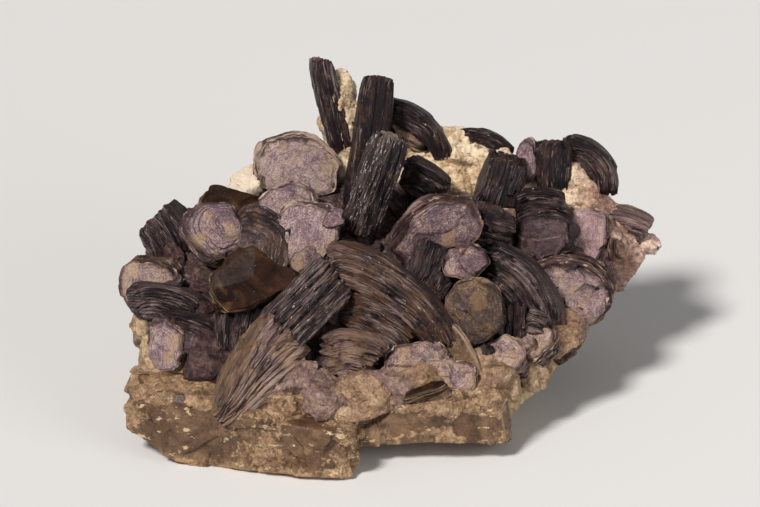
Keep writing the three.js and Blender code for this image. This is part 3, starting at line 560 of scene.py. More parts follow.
    def colours(self, sheet):
        """What the materials read about the crystal's colours, for each of its points."""
        look, end = self.look, self.form["size"][0] / 2
        values = {key: np.full(len(sheet), float(look[key])) for key in ("pale", "edge", "ridge", "glint")}
        sweep = look["sweep"] * sheet[:, 0] / end
        values["pale"] += sweep
        values["edge"] += look["grade"] * np.clip(2 * sheet[:, 2] / self.thickness, -1, 1)
        values["edge"] += sweep
        values["tip"] = look["tip"] * np.clip(TIP_PALE_REACH - (end - sheet[:, 0]) / TIP_FADE, 0, 1)
        values["stain"] = self.stain(sheet)
        values["lot"] = np.full(len(sheet), chance(self.seed, 90))
        return values


def ball(steps):
    """A unit ball's points and triangles."""
    grown = bmesh.new()
    bmesh.ops.create_icosphere(grown, subdivisions=steps, radius=1)
    points = np.array([vert.co for vert in grown.verts])
    faces = np.array([[vert.index for vert in face.verts] for face in grown.faces])
    grown.free()
    return points, faces


def broken_lump(crystal):
    """A lump as large as a crystal, broken all round: its points, its faces and what its material reads."""
    unit, faces = BALLS[crystal["name"] != "filler"]
    half, seed = np.array(crystal["size"]) / 2, crystal["seed"]
    cells = np.arange(LUMP_SIDES)[:, None] + LUMP_DRAWS
    draws = lattice(np.stack([cells, 0 * cells, 0 * cells], axis=-1), seed)
    sides = draws[:, :3] / np.linalg.norm(draws[:, :3], axis=1)[:, None]
    depths = LUMP_CUT + (1 - LUMP_CUT) * (0.5 + 0.5 * draws[:, 3])
    reach = np.minimum(LUMP_MOST, np.min(depths / np.maximum(unit @ sides.T, 0.05), axis=1))
    normals = unit / half
    normals /= np.linalg.norm(normals, axis=1)[:, None]
    points = unit * half * reach[:, None] * LUMP_SWELL
    place = points + seed * LUMP_SHIFT
    height = LUMP_GRIT[1] * rough_noise(place / LUMP_GRIT[0], seed, 2)
    for share, depth in LUMP_GRAINS:
        size = share * half.mean()
        height += depth * size * facets(place / size, seed + int(100 * share))[0]
    return points + normals * height[:, None], np.zeros((0, 4), int), faces, dict(place=place)


def write_attribute(mesh, name, values):
    """Stores one value, or one row of three, for each point of a mesh."""
    kind, key = ("FLOAT_VECTOR", "vector") if np.ndim(values) == 2 else ("FLOAT", "value")
    mesh.attributes.new(name, kind, "POINT").data.foreach_set(key, np.asarray(values, np.float32).ravel())


def mesh_of(name, builds):
    """One mesh of one or more built crystals, in metres."""
    faces, first = [], 0
    for points, quads, fans, _ in builds:
        faces += (quads + first).tolist() + (fans + first).tolist()
        first += len(points)
    mesh = bpy.data.meshes.new(name)
    mesh.from_pydata(np.vstack([build[0] for build in builds]) / 1000, [], faces)
    for key in builds[0][3]:
        write_attribute(mesh, key, np.concatenate([build[3][key] for build in builds]))
    return mesh


def view_matrix():
    """Turns the tilted view's axes into the specimen's, in metres."""
    return Matrix.Translation(VIEW_CENTRE / 1000) @ Matrix.Rotation(math.radians(90 - VIEW_TILT), 4, "X")


def crystal_matrix(crystal):
    """Where a crystal stands. What is nearer looks larger, so its place is drawn in to match."""
    right, up, near = crystal["at"]
    nearness = 1 - near / VIEW_DISTANCE
    place = Matrix.Translation(Vector((right * nearness, up * nearness, near)) / 1000)
    turned = (Matrix.Rotation(math.radians(crystal["lean"]), 4, "Z")
              @ Matrix.Rotation(math.radians(crystal["swing"]), 4, "Y")
              @ Matrix.Rotation(math.radians(crystal["open"] - 90), 4, "X"))
    return view_matrix() @ place @ turned


def finish_piece(mesh, name, material, node, crease=32):
    """Shows a mesh in place of a solid. Edges sharper than the crease's degrees show."""
    mesh.shade_smooth()
    mesh.set_sharp_from_angle(angle=math.radians(crease))
    piece = bpy.data.objects.new(name, mesh)
    bpy.context.scene.collection.objects.link(piece)
    mesh.materials.append(material)
    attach(piece, "root")
    if node:
        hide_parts(node)
    return piece


def colour(value):
    """A web colour such as 0x8f7f8c as Blender's linear red, green, blue and alpha."""
    parts = [(value >> shift & 255) / 255 for shift in (16, 8, 0)]
    return (*[part / 12.92 if part <= 0.04045 else ((part + 0.055) / 1.055) ** 2.4 for part in parts], 1.0)


class Graph:
    """A material's nodes. A value is a number or a node's socket, and a shade a web colour or a socket."""

    def __init__(self, name):
        self.material = bpy.data.materials.new(name)
        self.material.use_nodes = True
        self.tree = self.material.node_tree
        self.tree.nodes.clear()

    def add(self, kind, out=0, props=None, **settings):
        """A new node's output. Each setting is its socket's name with _ for a space, or i and its number."""
        node = self.tree.nodes.new("ShaderNode" + kind)
        for key, value in (props or {}).items():
            setattr(node, key, value)
        for key, value in settings.items():
            socket = node.inputs[int(key[1:])] if key[1:].isdigit() else node.inputs[key.replace("_", " ")]
            if isinstance(value, bpy.types.NodeSocket):
                self.tree.links.new(value, socket)
            else:
                socket.default_value = value
        return node.outputs[out]

    def read(self, name):
        """What the mesh holds for each point: a place in millimetres for sheet and place, else a number."""
        out = "Vector" if name in ("sheet", "place") else "Fac"
        return self.add("Attribute", out, {"attribute_name": name})

    def noise(self, vector, scale, detail=4.0, roughness=0.6, distortion=0.0):
        """Noise at a scale, one number or one for each axis, of which the third runs through the sheets."""
        if isinstance(scale, tuple):
            vector = self.add("VectorMath", 0, {"operation": "MULTIPLY"}, i0=vector, i1=scale)
            scale = 1.0
        return self.add("TexNoise", "Fac", Vector=vector, Scale=scale, Detail=detail, Roughness=roughness,
                        Distortion=distortion)

    def math(self, operation, a, b=0.0, clamp=False):
        """Arithmetic on two values, cut off at 0 and 1 if it is to clamp."""
        return self.add("Math", 0, {"operation": operation, "use_clamp": clamp}, i0=a, i1=b)

    def times(self, *factors):
        """Values multiplied."""
        product = factors[0]
        for factor in factors[1:]:
            product = self.math("MULTIPLY", product, factor)
        return product

    def sum(self, *terms):
        """Values times their weights, added up."""
        total = None
        for value, weight in terms:
            part = value if weight == 1.0 else self.times(value, weight)
            total = part if total is None else self.math("ADD", total, part)
        return total

    def centred(self, value):
        """Noise from 0 to 1 shifted so that its middle is 0."""
        return self.math("SUBTRACT", value, 0.5)

    def band(self, value, low, high):
        """0 at low, 1 at high, and a smooth climb between."""
        return self.add("MapRange", 0, {"interpolation_type": "SMOOTHSTEP"}, Value=value, From_Min=low,
                        From_Max=high)

    def between(self, value, low, high):
        """A value from 0 to 1 turned into one from low to high."""
        return self.add("MapRange", 0, None, Value=value, To_Min=low, To_Max=high)

    def vein(self, value, level, reach, core):
        """A thin line where noise crosses a level: 1 within its core, and 0 beyond its reach."""
        return self.band(self.math("ABSOLUTE", self.math("SUBTRACT", value, level)), reach, core)

    def mix(self, share, a, b):
        """One shade turning into another as the share goes from 0 to 1."""
        a, b = (colour(shade) if isinstance(shade, int) else shade for shade in (a, b))
        return self.add("Mix", 2, {"data_type": "RGBA", "blend_type": "MIX"}, i0=share, i6=a, i7=b)

    def over(self, base, shade, mask, strength):
        """A base shade with another laid over it where a mask is above 0, at a strength."""
        return self.mix(self.times(mask, strength), base, shade)

    def ramp(self, value, stops):
        """A shade read from a value, by stops of a value and a web colour each."""
        node = self.tree.nodes.new("ShaderNodeValToRGB")
        self.tree.links.new(value, node.inputs[0])
        for i, (place, shade) in enumerate(stops):
            stop = node.color_ramp.elements[i] if i < 2 else node.color_ramp.elements.new(place)
            stop.position, stop.color = place, colour(shade)
        return node.outputs[0]

    def surface(self, base, roughness, height, depth, **settings):
        """Ends the graph in a principled shader, whose bumps are depth metres high."""
        bump = self.add("Bump", 0, None, Strength=1.0, Distance=depth, Height=height)
        shader = self.add("BsdfPrincipled", 0, None, Base_Color=base, Roughness=roughness, Normal=bump,
                          **settings)
        output = self.tree.nodes.new("ShaderNodeOutputMaterial")
        self.tree.links.new(shader, output.inputs[0])
        return self.material


# Each tone's colours: a face's dark, middle and light, a side's dark, middle and light, and its stains. The
# face's dark also draws painted shadow along broken sheets, the side's dark painted shade in gaps between
# sheets, and the side's light painted highlights on sheet edges.
SHADES = {
    "lilac": ((0x47323a, 0x84696a, 0xc0a9a2), (0x1d0e13, 0x523838, 0xbaa193), 0xb49462),
    "mauve": ((0x6d5252, 0xa08281, 0xc2a6a0), (0x2b171c, 0x6b4e4f, 0xbba298), 0x9b7c50),
    "plum": ((0x180b11, 0x3c262c, 0x77605e), (0x11060b, 0x321d23, 0xa18d87), 0x6c4a2a),
    "tan": ((0x38271f, 0x705644, 0xab9072), (0x1e100d, 0x5a3f34, 0xb99e82), 0x8a6d42),
}
SIDE_STAIN = dict(lilac=0.35, mauve=1, plum=1, tan=1)  # how much of the stains shows on a side
VIOLET = 0x62506e  # the cooler patches on any face
GLINT = 0xd9ccc4  # painted glints: specks of light on the edges of sheets
WORN_AND_LIT_END = 0xa39183  # the pale end of a column: worn, and painted light where it faces up
CRUSTS = {
    "lilac": (0x3a2829, 0x7c625c, 0xb0968a),
    "tan": (0x3c2a20, 0x836650, 0xb9997c),
    "plum": (0x14090d, 0x372122, 0x6c4f49),
    "cream": (0x64493a, 0xa3866a, 0xd0b896),
}
CRUST_TAN = dict(lilac=0.6, tan=0.6, plum=0.2, cream=0.5)  # how much of each is stained tan
MICA_READS = ("sheet", "ring", "rim", "lot", "stain", "pale", "edge", "crest", "ridge", "glint", "tip")

# The numbers of noise in the materials are its scale (1 has grains of about a millimetre, 0.1 of about ten),
# its detail, its roughness and sometimes its distortion. Those of a band or a vein are levels of the noise.


def mica_face(g, m, shades):
    """A face's colour and its growth lines: mottled, ringed and cracked, with painted shadow along the edges
    of broken sheets.
    """
    low, mid, high = shades
    mottle = g.sum((m.patches, 0.5), (m.grain, 0.5), (g.centred(m.fine), 0.9), (m.pale, 0.03))
    face = g.ramp(mottle, ((0.36, low), (0.49, mid), (0.64, high)))
    cool = g.band(g.noise(m.place, 0.22, 5, 0.7, 0.5), 0.45, 0.68)
    face = g.over(face, VIOLET, cool, 0.3)
    growth = g.sum((m.ring, 19), (g.noise(m.place, 0.12, 3, 0.5), 7))
    line = g.add("TexNoise", "Fac", {"noise_dimensions": "1D"}, W=growth, Scale=1.0, Detail=3.0,
                 Roughness=0.7)
    lined = g.times(g.band(line, 0.53, 0.6), g.band(m.grain, 0.3, 0.5))
    face = g.mix(g.math("MULTIPLY", lined, m.ridge, clamp=True), face, low)
    crack = g.vein(g.noise(m.place, 0.35, 3, 0.6, 0.8), 0.5, 0.012, 0.004)
    face = g.over(face, low, crack, 0.55)
    crackle = g.vein(g.noise(m.place, 0.9, 3, 0.6, 1.2), 0.5, 0.03, 0.01)
    face = g.over(face, low, g.times(crackle, g.band(m.patches, 0.4, 0.6)), 0.4)
    scratch = g.noise(m.place, (0.25, 2.2, 1), 3, 0.7, 0.4)
    face = g.over(face, high, g.band(scratch, 0.62, 0.68), 0.3)
    # Painted shadow along the edges of broken sheets, where crest is below 0
    return g.mix(g.math("MULTIPLY", m.crest, -0.75, clamp=True), face, low), line


def mica_side(g, m, shades):
    """A side's colour and its lines' height: the edges of sheets, painted lighter where they stand out, with
    painted highlight hairs and lines, painted shade in gaps, painted glints, and a worn end with painted
    light.
    """
    low, mid, high = shades
    wide_lines = g.noise(m.place, (0.03, 0.03, 0.55), 2, 0.6)
    long_lines = g.noise(m.place, (0.03, 0.03, 1.8), 3, 0.7)
    short_lines = g.noise(m.place, (0.07, 0.07, 3.6), 4, 0.8)
    # Painted light on sheets that stand out, painted shade on those set back
    lines = g.sum((wide_lines, 0.25), (long_lines, 0.25), (m.patches, 0.35), (m.fine, 0.15), (m.crest, 0.075),
                  (m.edge, 0.018))
    side = g.ramp(lines, ((0.39, low), (0.53, mid), (0.8, high)))
    bundles = g.noise(m.place, (0.12, 0.12, 0.35), 3, 0.7)
    hair = g.vein(g.noise(m.place, (0.06, 0.06, 1.9), 2, 0.5), 0.52, 0.035, 0.012)
    # Painted highlights along thin hairlines of sheet edges
    lit = g.band(g.sum((bundles, 1.0), (m.crest, 0.05), (m.edge, 0.015), (m.glint, 0.006)), 0.46, 0.56)
    side = g.over(side, high, g.times(hair, lit), 0.8)
    # Painted highlights on broken lines of sheet edges
    bright = g.band(g.sum((short_lines, 1.0), (m.patches, 0.4), (m.crest, 0.03), (m.edge, 0.02)), 0.79, 0.83)
    side = g.over(side, high, bright, 0.6)
    # Painted shade in the thin gaps between sheets
    gap_shade = g.vein(g.noise(m.place, (0.05, 0.05, 1.2), 2, 0.5), 0.48, 0.05, 0.02)
    side = g.over(side, low, gap_shade, 0.85)
    # Painted glints: pale specks on sheet edges where light catches them
    glint_specks = g.band(g.sum((g.noise(m.place, (0.6, 0.6, 2.2), 3, 0.7), 1.0), (m.glint, 0.004)), 0.66, 0.69)
    glint_spots = g.band(g.sum((bundles, 0.6), (m.patches, 0.4), (m.crest, 0.05), (m.glint, 0.006)), 0.5, 0.56)
    side = g.over(side, GLINT, g.times(glint_specks, glint_spots), 0.95)
    # The far end paled: wear, and painted light on the end that faces up
    side = g.over(side, WORN_AND_LIT_END, g.times(m.tip, g.band(m.grain, 0.35, 0.5)), 0.8)
    return side, g.sum((short_lines, 1.2), (long_lines, 0.9))


def mica(tone):
    """Mica: a colour for its faces, one for its sides, and tan stains on both."""
    g = Graph("mica_" + tone)
    face_shades, side_shades, stain_shade = SHADES[tone]
    m = SimpleNamespace(**{name: g.read(name) for name in MICA_READS})
    shift = g.add("CombineXYZ", X=g.times(m.lot, 97), Y=g.times(m.lot, 31))
    m.place = g.add("VectorMath", 0, {"operation": "ADD"}, i0=m.sheet, i1=shift)
    m.patches = g.noise(m.place, 0.17, 5, 0.65, 0.6)
    m.grain = g.noise(m.place, 0.8, 5, 0.78)
    m.fine = g.noise(m.place, 2.6, 4, 0.8)
    face, growth = mica_face(g, m, face_shades)
    side, grooves = mica_side(g, m, side_shades)
    base = g.mix(m.rim, face, side)
    spots = g.sum((g.noise(m.place, 0.17, 5, 0.7), 1.0), (g.centred(m.grain), 0.5), (m.stain, 0.3))
    shown = g.math("SUBTRACT", 1.0, g.times(m.rim, 1 - SIDE_STAIN[tone]))
    stained = g.times(g.band(spots, 0.54, 0.66), shown)
    base = g.over(base, g.mix(0.5, base, stain_shade), stained, 0.75)
    face_height = g.sum((m.grain, 0.6), (m.fine, 0.35), (growth, 0.3))
    height = g.add("Mix", 0, {"data_type": "FLOAT"}, i0=m.rim, i2=face_height, i3=grooves)
    return g.surface(base, g.between(m.grain, 0.34, 0.6), height, 0.0006, Coat_Weight=0.06,
                     Coat_Roughness=0.25, IOR=1.56, Specular_IOR_Level=0.3)


def crust(tone):
    """Broken mica in one lump: pinkish, tan and violet patches, cracks, and sheets that show as lines."""
    g = Graph("crust_" + tone)
    place = g.read("place")
    patches = g.noise(place, 0.16, 5, 0.7, 0.5)
    grain = g.noise(place, 0.8, 5, 0.78)
    fine = g.noise(place, 2.6, 4, 0.8)
    low, mid, high = CRUSTS[tone]
    base = g.ramp(g.sum((patches, 0.5), (grain, 0.35), (fine, 0.2)), ((0.4, low), (0.51, mid), (0.63, high)))
    tan = g.band(g.noise(place, 0.24, 5, 0.72, 0.5), 0.5, 0.62)
    base = g.over(base, g.ramp(grain, ((0.36, 0x5c4130), (0.62, 0xb59672))), tan, CRUST_TAN[tone])
    lines = g.noise(place, (0.3, 0.3, 2.4), 3, 0.7)
    shown = g.band(g.noise(place, 0.3, 3, 0.6), 0.45, 0.6)
    base = g.over(base, low, g.times(g.band(lines, 0.48, 0.42), shown), 0.6)
    base = g.over(base, high, g.band(lines, 0.6, 0.66), 0.5)
    base = g.over(base, low, g.vein(g.noise(place, 0.3, 4, 0.65, 0.6), 0.5, 0.014, 0.004), 0.6)
    height = g.sum((grain, 0.8), (lines, 0.5), (fine, 0.3))
    return g.surface(base, 0.5, height, 0.0005, IOR=1.56, Specular_IOR_Level=0.3)


def smoky_mica():
    """Glassy brown mica that some light gets through, with gold patches and pale specks of painted sparkle.
    """
    g = Graph("mica_smoky")
    sheet, rim, stain = (g.read(name) for name in ("sheet", "rim", "stain"))
    patches = g.noise(sheet, 0.13, 4, 0.6, 0.8)
    specks = g.band(g.noise(sheet, 2.2, 2, 0.6), 0.69, 0.74)
    cloud = g.band(g.noise(sheet, 0.3, 5, 0.7), 0.5, 0.68)
    face = g.ramp(patches, ((0.36, 0x1b0f0b), (0.5, 0x311e15), (0.7, 0x4c3223)))
    face = g.over(face, 0x1d1114, cloud, 0.6)
    gold = g.times(g.math("MULTIPLY", stain, 0.85, clamp=True), g.band(patches, 0.4, 0.6))
    face = g.mix(gold, face, 0x8a6432)
    # Painted sparkle: pale specks where light glints off the sheets
    face = g.over(face, 0xb59a80, specks, 0.7)
    lines = g.noise(sheet, (0.14, 0.14, 3.5), 4, 0.7)
    base = g.mix(rim, face, g.ramp(lines, ((0.49, 0x2c1b11), (0.67, 0xb89f7e))))
    height = g.sum((cloud, 0.2), (specks, 0.5), (lines, 0.3))
    return g.surface(base, g.between(cloud, 0.42, 0.55), height, 0.0003, Transmission_Weight=0.15, IOR=1.56,
                     Specular_IOR_Level=0.03)


def albite_stone():
    """Cream albite in blocky grains, brown and plum with broken mica where crystals crowd it."""
    g = Graph("albite")
    place, crowd, blush, clean, dirt = (g.read(name) for name in ("place", "crowd", "blush", "clean", "dirt"))
    patches = g.noise(place, 0.07, 4, 0.65)
    grain = g.noise(place, 0.8, 5, 0.75)
    tone = g.sum((patches, 0.55), (grain, 0.45), (clean, 0.06))
    base = g.ramp(tone, ((0.37, 0x7d6045), (0.45, 0xc6a680), (0.56, 0xeedabb)))
    base = g.over(base, g.ramp(tone, ((0.38, 0x5c452d), (0.49, 0x957852), (0.6, 0xc2a67c))), dirt, 0.8)
    rusty = g.times(g.band(g.noise(place, 0.13, 4, 0.7), 0.55, 0.66), g.math("SUBTRACT", 1.0, clean))
    base = g.over(base, 0x8f6a40, rusty, 0.6)
    base = g.over(base, g.ramp(tone, ((0.4, 0x6f4a44), (0.5, 0xb18a80), (0.58, 0xe2c6ba))), blush, 0.7)
    flakes = g.band(g.sum((g.noise(place, (0.3, 0.3, 0.7), 4, 0.75), 1.0), (clean, -0.3)), 0.55, 0.62)
    base = g.over(base, g.ramp(grain, ((0.35, 0x3c2826), (0.65, 0x8d746a))), flakes, 0.75)
    base = g.over(base, 0xe2d4c4, clean, 0.6)
    dark = g.ramp(grain, ((0.35, 0x1a1012), (0.52, 0x432f2f), (0.68, 0x80695c)))
    base = g.mix(g.band(g.sum((crowd, 1.0), (g.centred(patches), 1.6)), 0.3, 0.7), base, dark)
    cells = g.add("TexVoronoi", "Distance", {"feature": "DISTANCE_TO_EDGE"}, Vector=place, Scale=0.45)
    height = g.sum((grain, 1.0), (g.math("MINIMUM", cells, 0.3), 0.9))
    return g.surface(base, 0.6, height, 0.0006, IOR=1.53, Specular_IOR_Level=0.4)


def quartz_stone():
    """Grey-brown smoky quartz, glassy where it is clean, under a tan crust with pale flakes."""
    g = Graph("quartz")
    place, cover, foot = (g.read(name) for name in ("place", "cover", "foot"))
    patches = g.noise(place, 0.09, 5, 0.65, 0.6)
    grain = g.noise(place, 0.7, 5, 0.78)
    fine = g.noise(place, 2.4, 4, 0.8)
    clear = g.sum((patches, 0.6), (grain, 0.25), (fine, 0.15))
    glass = g.ramp(clear, ((0.38, 0x37261a), (0.5, 0x644a36), (0.62, 0x8b6f54)))
    caked = g.sum((grain, 0.5), (fine, 0.2), (g.noise(place, 0.2, 4, 0.7), 0.3))
    shell = g.ramp(caked, ((0.4, 0x4f3b2b), (0.49, 0x84674e), (0.6, 0xbc9d7a)))
    covered = g.band(g.sum((cover, 1.0), (g.centred(grain), 0.8)), 0.46, 0.54)
    base = g.mix(covered, glass, shell)
    flakes = g.band(g.noise(place, (0.22, 0.22, 0.5), 5, 0.7), 0.6, 0.62)
    base = g.over(base, 0xcbb28e, flakes, 0.85)
    base = g.over(base, 0x3a2a20, g.vein(g.noise(place, 0.11, 4, 0.6, 0.5), 0.5, 0.012, 0.004), 0.6)
    rusty = g.times(foot, g.band(g.noise(place, 0.25, 4, 0.7), 0.4, 0.6))
    base = g.over(base, 0xcda67a, rusty, 0.8)
    height = g.sum((grain, g.math("ADD", g.times(covered, 0.5), 0.2)), (flakes, 0.6), (fine, 0.2))
    return g.surface(base, g.between(covered, 0.34, 0.65), height, 0.0005, IOR=1.54, Specular_IOR_Level=0.3)


# The rocks' broken grains, each with its size and how far it stands out, and how fine their meshes are
ALBITE_GRAINS = ((5, 1.1), (2.6, 0.35))
QUARTZ_GRAINS = ((15, 1.8), (6, 0.4))
STONE_GRIT = (1.4, 0.12)  # the size and the depth of the grit on them
ALBITE_VOXEL = 0.8
QUARTZ_VOXEL = 0.55

# Where crystals crowd the albite, in the tilted view's axes: the middle of an ellipse and its reach
CROWD_MIDDLE = np.array((0, -8))
CROWD_REACH = np.array((75, 30))
CROWD_DEPTH = -22  # how far back it goes
BLUSH_FROM = 52  # where along X the albite turns pinkish
MOTTLED_FROM = 58  # and where broken mica mottles it
DIRT_TO = 36  # how high up it is tan with dirt
WHITE_LUMP = Vector((-37.9, 20.6, 0))  # the cleanest lump of albite, where it shows in the view
WHITE_REACH = 6

# Where the quartz is glassy in the tilted view: the middle of an ellipse and its reach
GLASSY = (((-47, -49), (15, 8)), ((3, -46), (9, 2.6)), ((24, -47), (6.5, 2.2)), ((-22, -50), (5, 4)),
          ((13, -46), (14, 1.7)))
THIN_CORNER = np.array((-58, -39, 2))  # where it ends in a thin edge, which keeps its form
THIN_REACH = 9
CRUST_TOP = 15  # the height above which its top is crusted


def remeshed(node, voxel):
    """A frame node's shape as a new and evenly fine mesh."""
    copy = bpy.data.objects.new("copy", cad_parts[node].data.copy())
    bpy.context.scene.collection.objects.link(copy)
    modifier = copy.modifiers.new("fine", "REMESH")
    modifier.mode = "VOXEL"
    modifier.voxel_size = voxel / 1000
    mesh = bpy.data.meshes.new_from_object(copy.evaluated_get(bpy.context.evaluated_depsgraph_get()))
    bpy.data.objects.remove(copy)
    mesh.materials.clear()
    return mesh


def surface_of(mesh):
    """A mesh's points, in millimetres, and their normals."""
    values = np.empty((2, len(mesh.vertices) * 3), np.float32)
    mesh.vertices.foreach_get("co", values[0])
    mesh.vertex_normals.foreach_get("vector", values[1])
    points, normals = values.reshape(2, -1, 3).astype(float)
    return points * 1000, normals


def seen_places(points):
    """Places in the tilted view's axes, in millimetres."""
    back = view_matrix().inverted()
    return (np.hstack([points / 1000, np.ones((len(points), 1))]) @ np.array(back).T * 1000)[:, :3]


def crowding(points):
    """From 0 to 1, how crowded with crystals places in the albite are."""
    seen = seen_places(points)
    away = np.linalg.norm((seen[:, :2] - CROWD_MIDDLE) / CROWD_REACH, axis=1)
    return np.clip((1.05 - away) / 0.25, 0, 1) * np.clip((seen[:, 2] - CROWD_DEPTH) / 10, 0, 1)


def broken_stone(points, grains, seed):
    """How far rock stands out where it broke, with facets of each grain's size and depth."""
    height = STONE_GRIT[1] * rough_noise(points / STONE_GRIT[0], seed + 90, 2)
    for i, (size, depth) in enumerate(grains):
        warped = points / size + 0.2 * smooth_noise(points / size * 1.7, seed + 3 + i)[:, None]
        height += depth * facets(warped, seed + 20 * i)[0]
    return height


def moved_stone(mesh, points, normals, height):
    """Moves a rock's points out by a height, its underside left flat."""
    lifted = np.clip((points[:, 2] - 0.3) / 4, 0, 1)
    moved = points + normals * height[:, None] * xyz(1, 1, lifted)
    moved[:, 2] = np.maximum(moved[:, 2], 0)
    mesh.vertices.foreach_set("co", (moved / 1000).astype(np.float32).ravel())
    mesh.update()
    write_attribute(mesh, "place", moved)
    return moved


def rough_albite():
    """The albite with its grains, and where it is crowded, pinkish, clean and dirty."""
    mesh = remeshed("albite_matrix", ALBITE_VOXEL)
    points, normals = surface_of(mesh)
    moved = moved_stone(mesh, points, normals, broken_stone(points, ALBITE_GRAINS, 300))
    mottles = np.clip((moved[:, 0] - MOTTLED_FROM) / 5, 0, 1) * (0.05 + 1.4 * rough_noise(moved / 7, 350, 3))
    white = np.array(view_matrix() @ (WHITE_LUMP / 1000)) * 1000
    write_attribute(mesh, "crowd", np.clip(np.maximum(crowding(moved), mottles), 0, 1))
    write_attribute(mesh, "blush", np.clip((moved[:, 0] - BLUSH_FROM) / 8, 0, 1))
    write_attribute(mesh, "clean", np.clip(2 - np.linalg.norm(moved - white, axis=1) / WHITE_REACH, 0, 1))
    write_attribute(mesh, "dirt", np.clip((DIRT_TO - moved[:, 2]) / 8, 0, 1))
    return mesh


def rough_quartz():
    """The quartz with its crust: thick on the top and along the foot, thin where the front is glassy."""
    mesh = remeshed("quartz_slab", QUARTZ_VOXEL)
    points, normals = surface_of(mesh)
    top = np.clip((points[:, 2] - CRUST_TOP) / 4, 0, 1)
    foot = np.clip(1.3 - points[:, 2] / 3, 0, 1)
    seen = seen_places(points)[:, :2]
    glassy = [1.5 - np.linalg.norm((seen - middle) / reach, axis=1) for middle, reach in GLASSY]
    glassy = np.clip(np.max(glassy, axis=0), 0, 1)
    cover = 0.62 + 1.0 * rough_noise(points / 6, 410, 4) + 0.35 * np.maximum(0.8 * top, foot)
    cover = np.clip(cover - 0.7 * glassy, 0, 1)
    crusted = np.clip((cover - 0.4) / 0.2, 0, 1)
    height = broken_stone(points, QUARTZ_GRAINS, 400)
    height += crusted * (0.25 + 0.15 * facets(points / 4, 460)[0])
    height *= np.clip(np.linalg.norm(points - THIN_CORNER, axis=1) / THIN_REACH, 0.1, 1)
    moved_stone(mesh, points, normals, height)
    write_attribute(mesh, "cover", cover)
    write_attribute(mesh, "foot", foot)
    return mesh


materials = {tone: mica(tone) for tone in SHADES}
materials["smoky"] = smoky_mica()
crusts = {tone: crust(tone) for tone in CRUSTS}
BALLS = [ball(steps) for steps in BALL_STEPS]

# Broken mica along the foot of the crystals, and what else stands for no solid, laid out as the crystals are
SCENERY = [
    ("mass_lilac_1", "lilac", (4.2, -38.6, 34), (19, 12, 12), dict(open=60)),
    ("mass_tan_1", "tan", (12.6, -37.2, 33), (19, 12, 12), dict(lean=10, open=65)),
    ("foot_face_1", "lilac", (19.4, -35.4, 32), (18, 13, 8), dict(lean=-12, open=72)),
    ("mass_tan_2", "tan", (28.4, -34.4, 28), (17, 12, 12), dict(lean=15, open=60)),
    ("foot_face_2", "lilac", (34.6, -30.6, 25), (17, 13, 8), dict(lean=25, open=66)),
    ("foot_face_3", "lilac", (42, -26.2, 19), (19, 13, 8), dict(lean=30, open=58)),
    ("small_block", "plum", (43.8, -18.8, 23), (7.5, 6, 5), dict(lean=-15, open=12)),
    ("mass_tan_3", "tan", (47.2, -23.6, 13), (17, 12, 11), dict(lean=30, open=55)),
    ("mass_tan_8", "lilac", (54, -20.6, 5), (17, 8, 9), dict(lean=38, open=58)),
    ("mass_tan_4", "tan", (60.4, -15, 0), (14, 8, 9), dict(lean=42, open=55)),
    ("mass_tan_5", "tan", (-4.6, -41.4, 37), (17, 12, 10), dict(lean=10, open=60)),
    ("mass_cream_1", "cream", (35, -35.8, 27), (10, 9, 8), dict(lean=20, open=70)),
    ("mass_cream_2", "cream", (41.6, -33.4, 21), (10, 8, 8), dict(lean=-30, open=60)),
    ("mass_cream_3", "cream", (-12, -44.6, 36.5), (14, 8, 8), dict(lean=-10, open=60)),
    ("mass_tan_6", "tan", (-26, -43, 33), (18, 9, 10), dict(lean=10, open=60)),
    ("mass_cream_4", "cream", (-61, -34.6, 24), (16, 6, 8), dict(lean=-12, open=60)),
    ("mass_tan_7", "tan", (-46, -38.8, 27), (20, 6, 8), dict(lean=-6, open=60)),
    ("shard", "smoky", (12.6, -38.8, 40), (14, 3.5, 1.3), dict(lean=18, open=38)),
    ("eye_lobe", "lilac", (-12.8, 9.6, 22.4), (8, 8, 3.4), dict(open=85)),
    ("tan_lobe", "lilac", (-20.6, -2.8, 22.6), (13, 11, 3.6), dict(lean=30, open=84)),
]

for seed, (name, tone, at, size, form) in enumerate(CRYSTALS + SCENERY):
    crystal = {**PLAIN, **form, "name": name, "at": at, "size": size, "seed": seed}
    look = look_of(name)
    broken = name.startswith("mass") or look["lump"]
    mesh = mesh_of(name + "_sheets", [broken_lump(crystal) if broken else Book(crystal).build()])
    node = crystal["joins"] or name if seed < len(CRYSTALS) else None
    shade = look["shade"] or tone
    piece = finish_piece(mesh, name + "_sheets", (crusts if broken else materials)[shade], node)
    piece.matrix_world = crystal_matrix(crystal)

albite = rough_albite()
finish_piece(albite, "albite_matrix_stone", albite_stone(), "albite_matrix", 30)
finish_piece(rough_quartz(), "quartz_slab_stone", quartz_stone(), "quartz_slab", 24)

# Small books and broken lumps that fill the gaps between the crystals, half sunk in the albite
FILLERS = 170  # the most places for one
FILLER_SEED = 100  # the first one's seed
FILLER_DRAWS = 200  # where its draws start
FILLER_SPACE = 4.2  # the least distance between two of them
FILLER_CROWD = 0.45  # how crowded a place is at the least
FILLER_BOTTOM = 17  # the least height
FILLER_BACK = 0.3  # how far the albite may face back there
FILLER_LENGTH = (4.5, 5)  # the shortest, and how much longer they get
FILLER_TONES = ((0.72, "plum"), (0.86, "lilac"), (1, "tan"))  # each tone with the draws that it takes, up to
FILLER_BROKEN = 0.4  # the share of lumps
BARE_END = (58, 34)  # none shows further right than this where it is lower than this


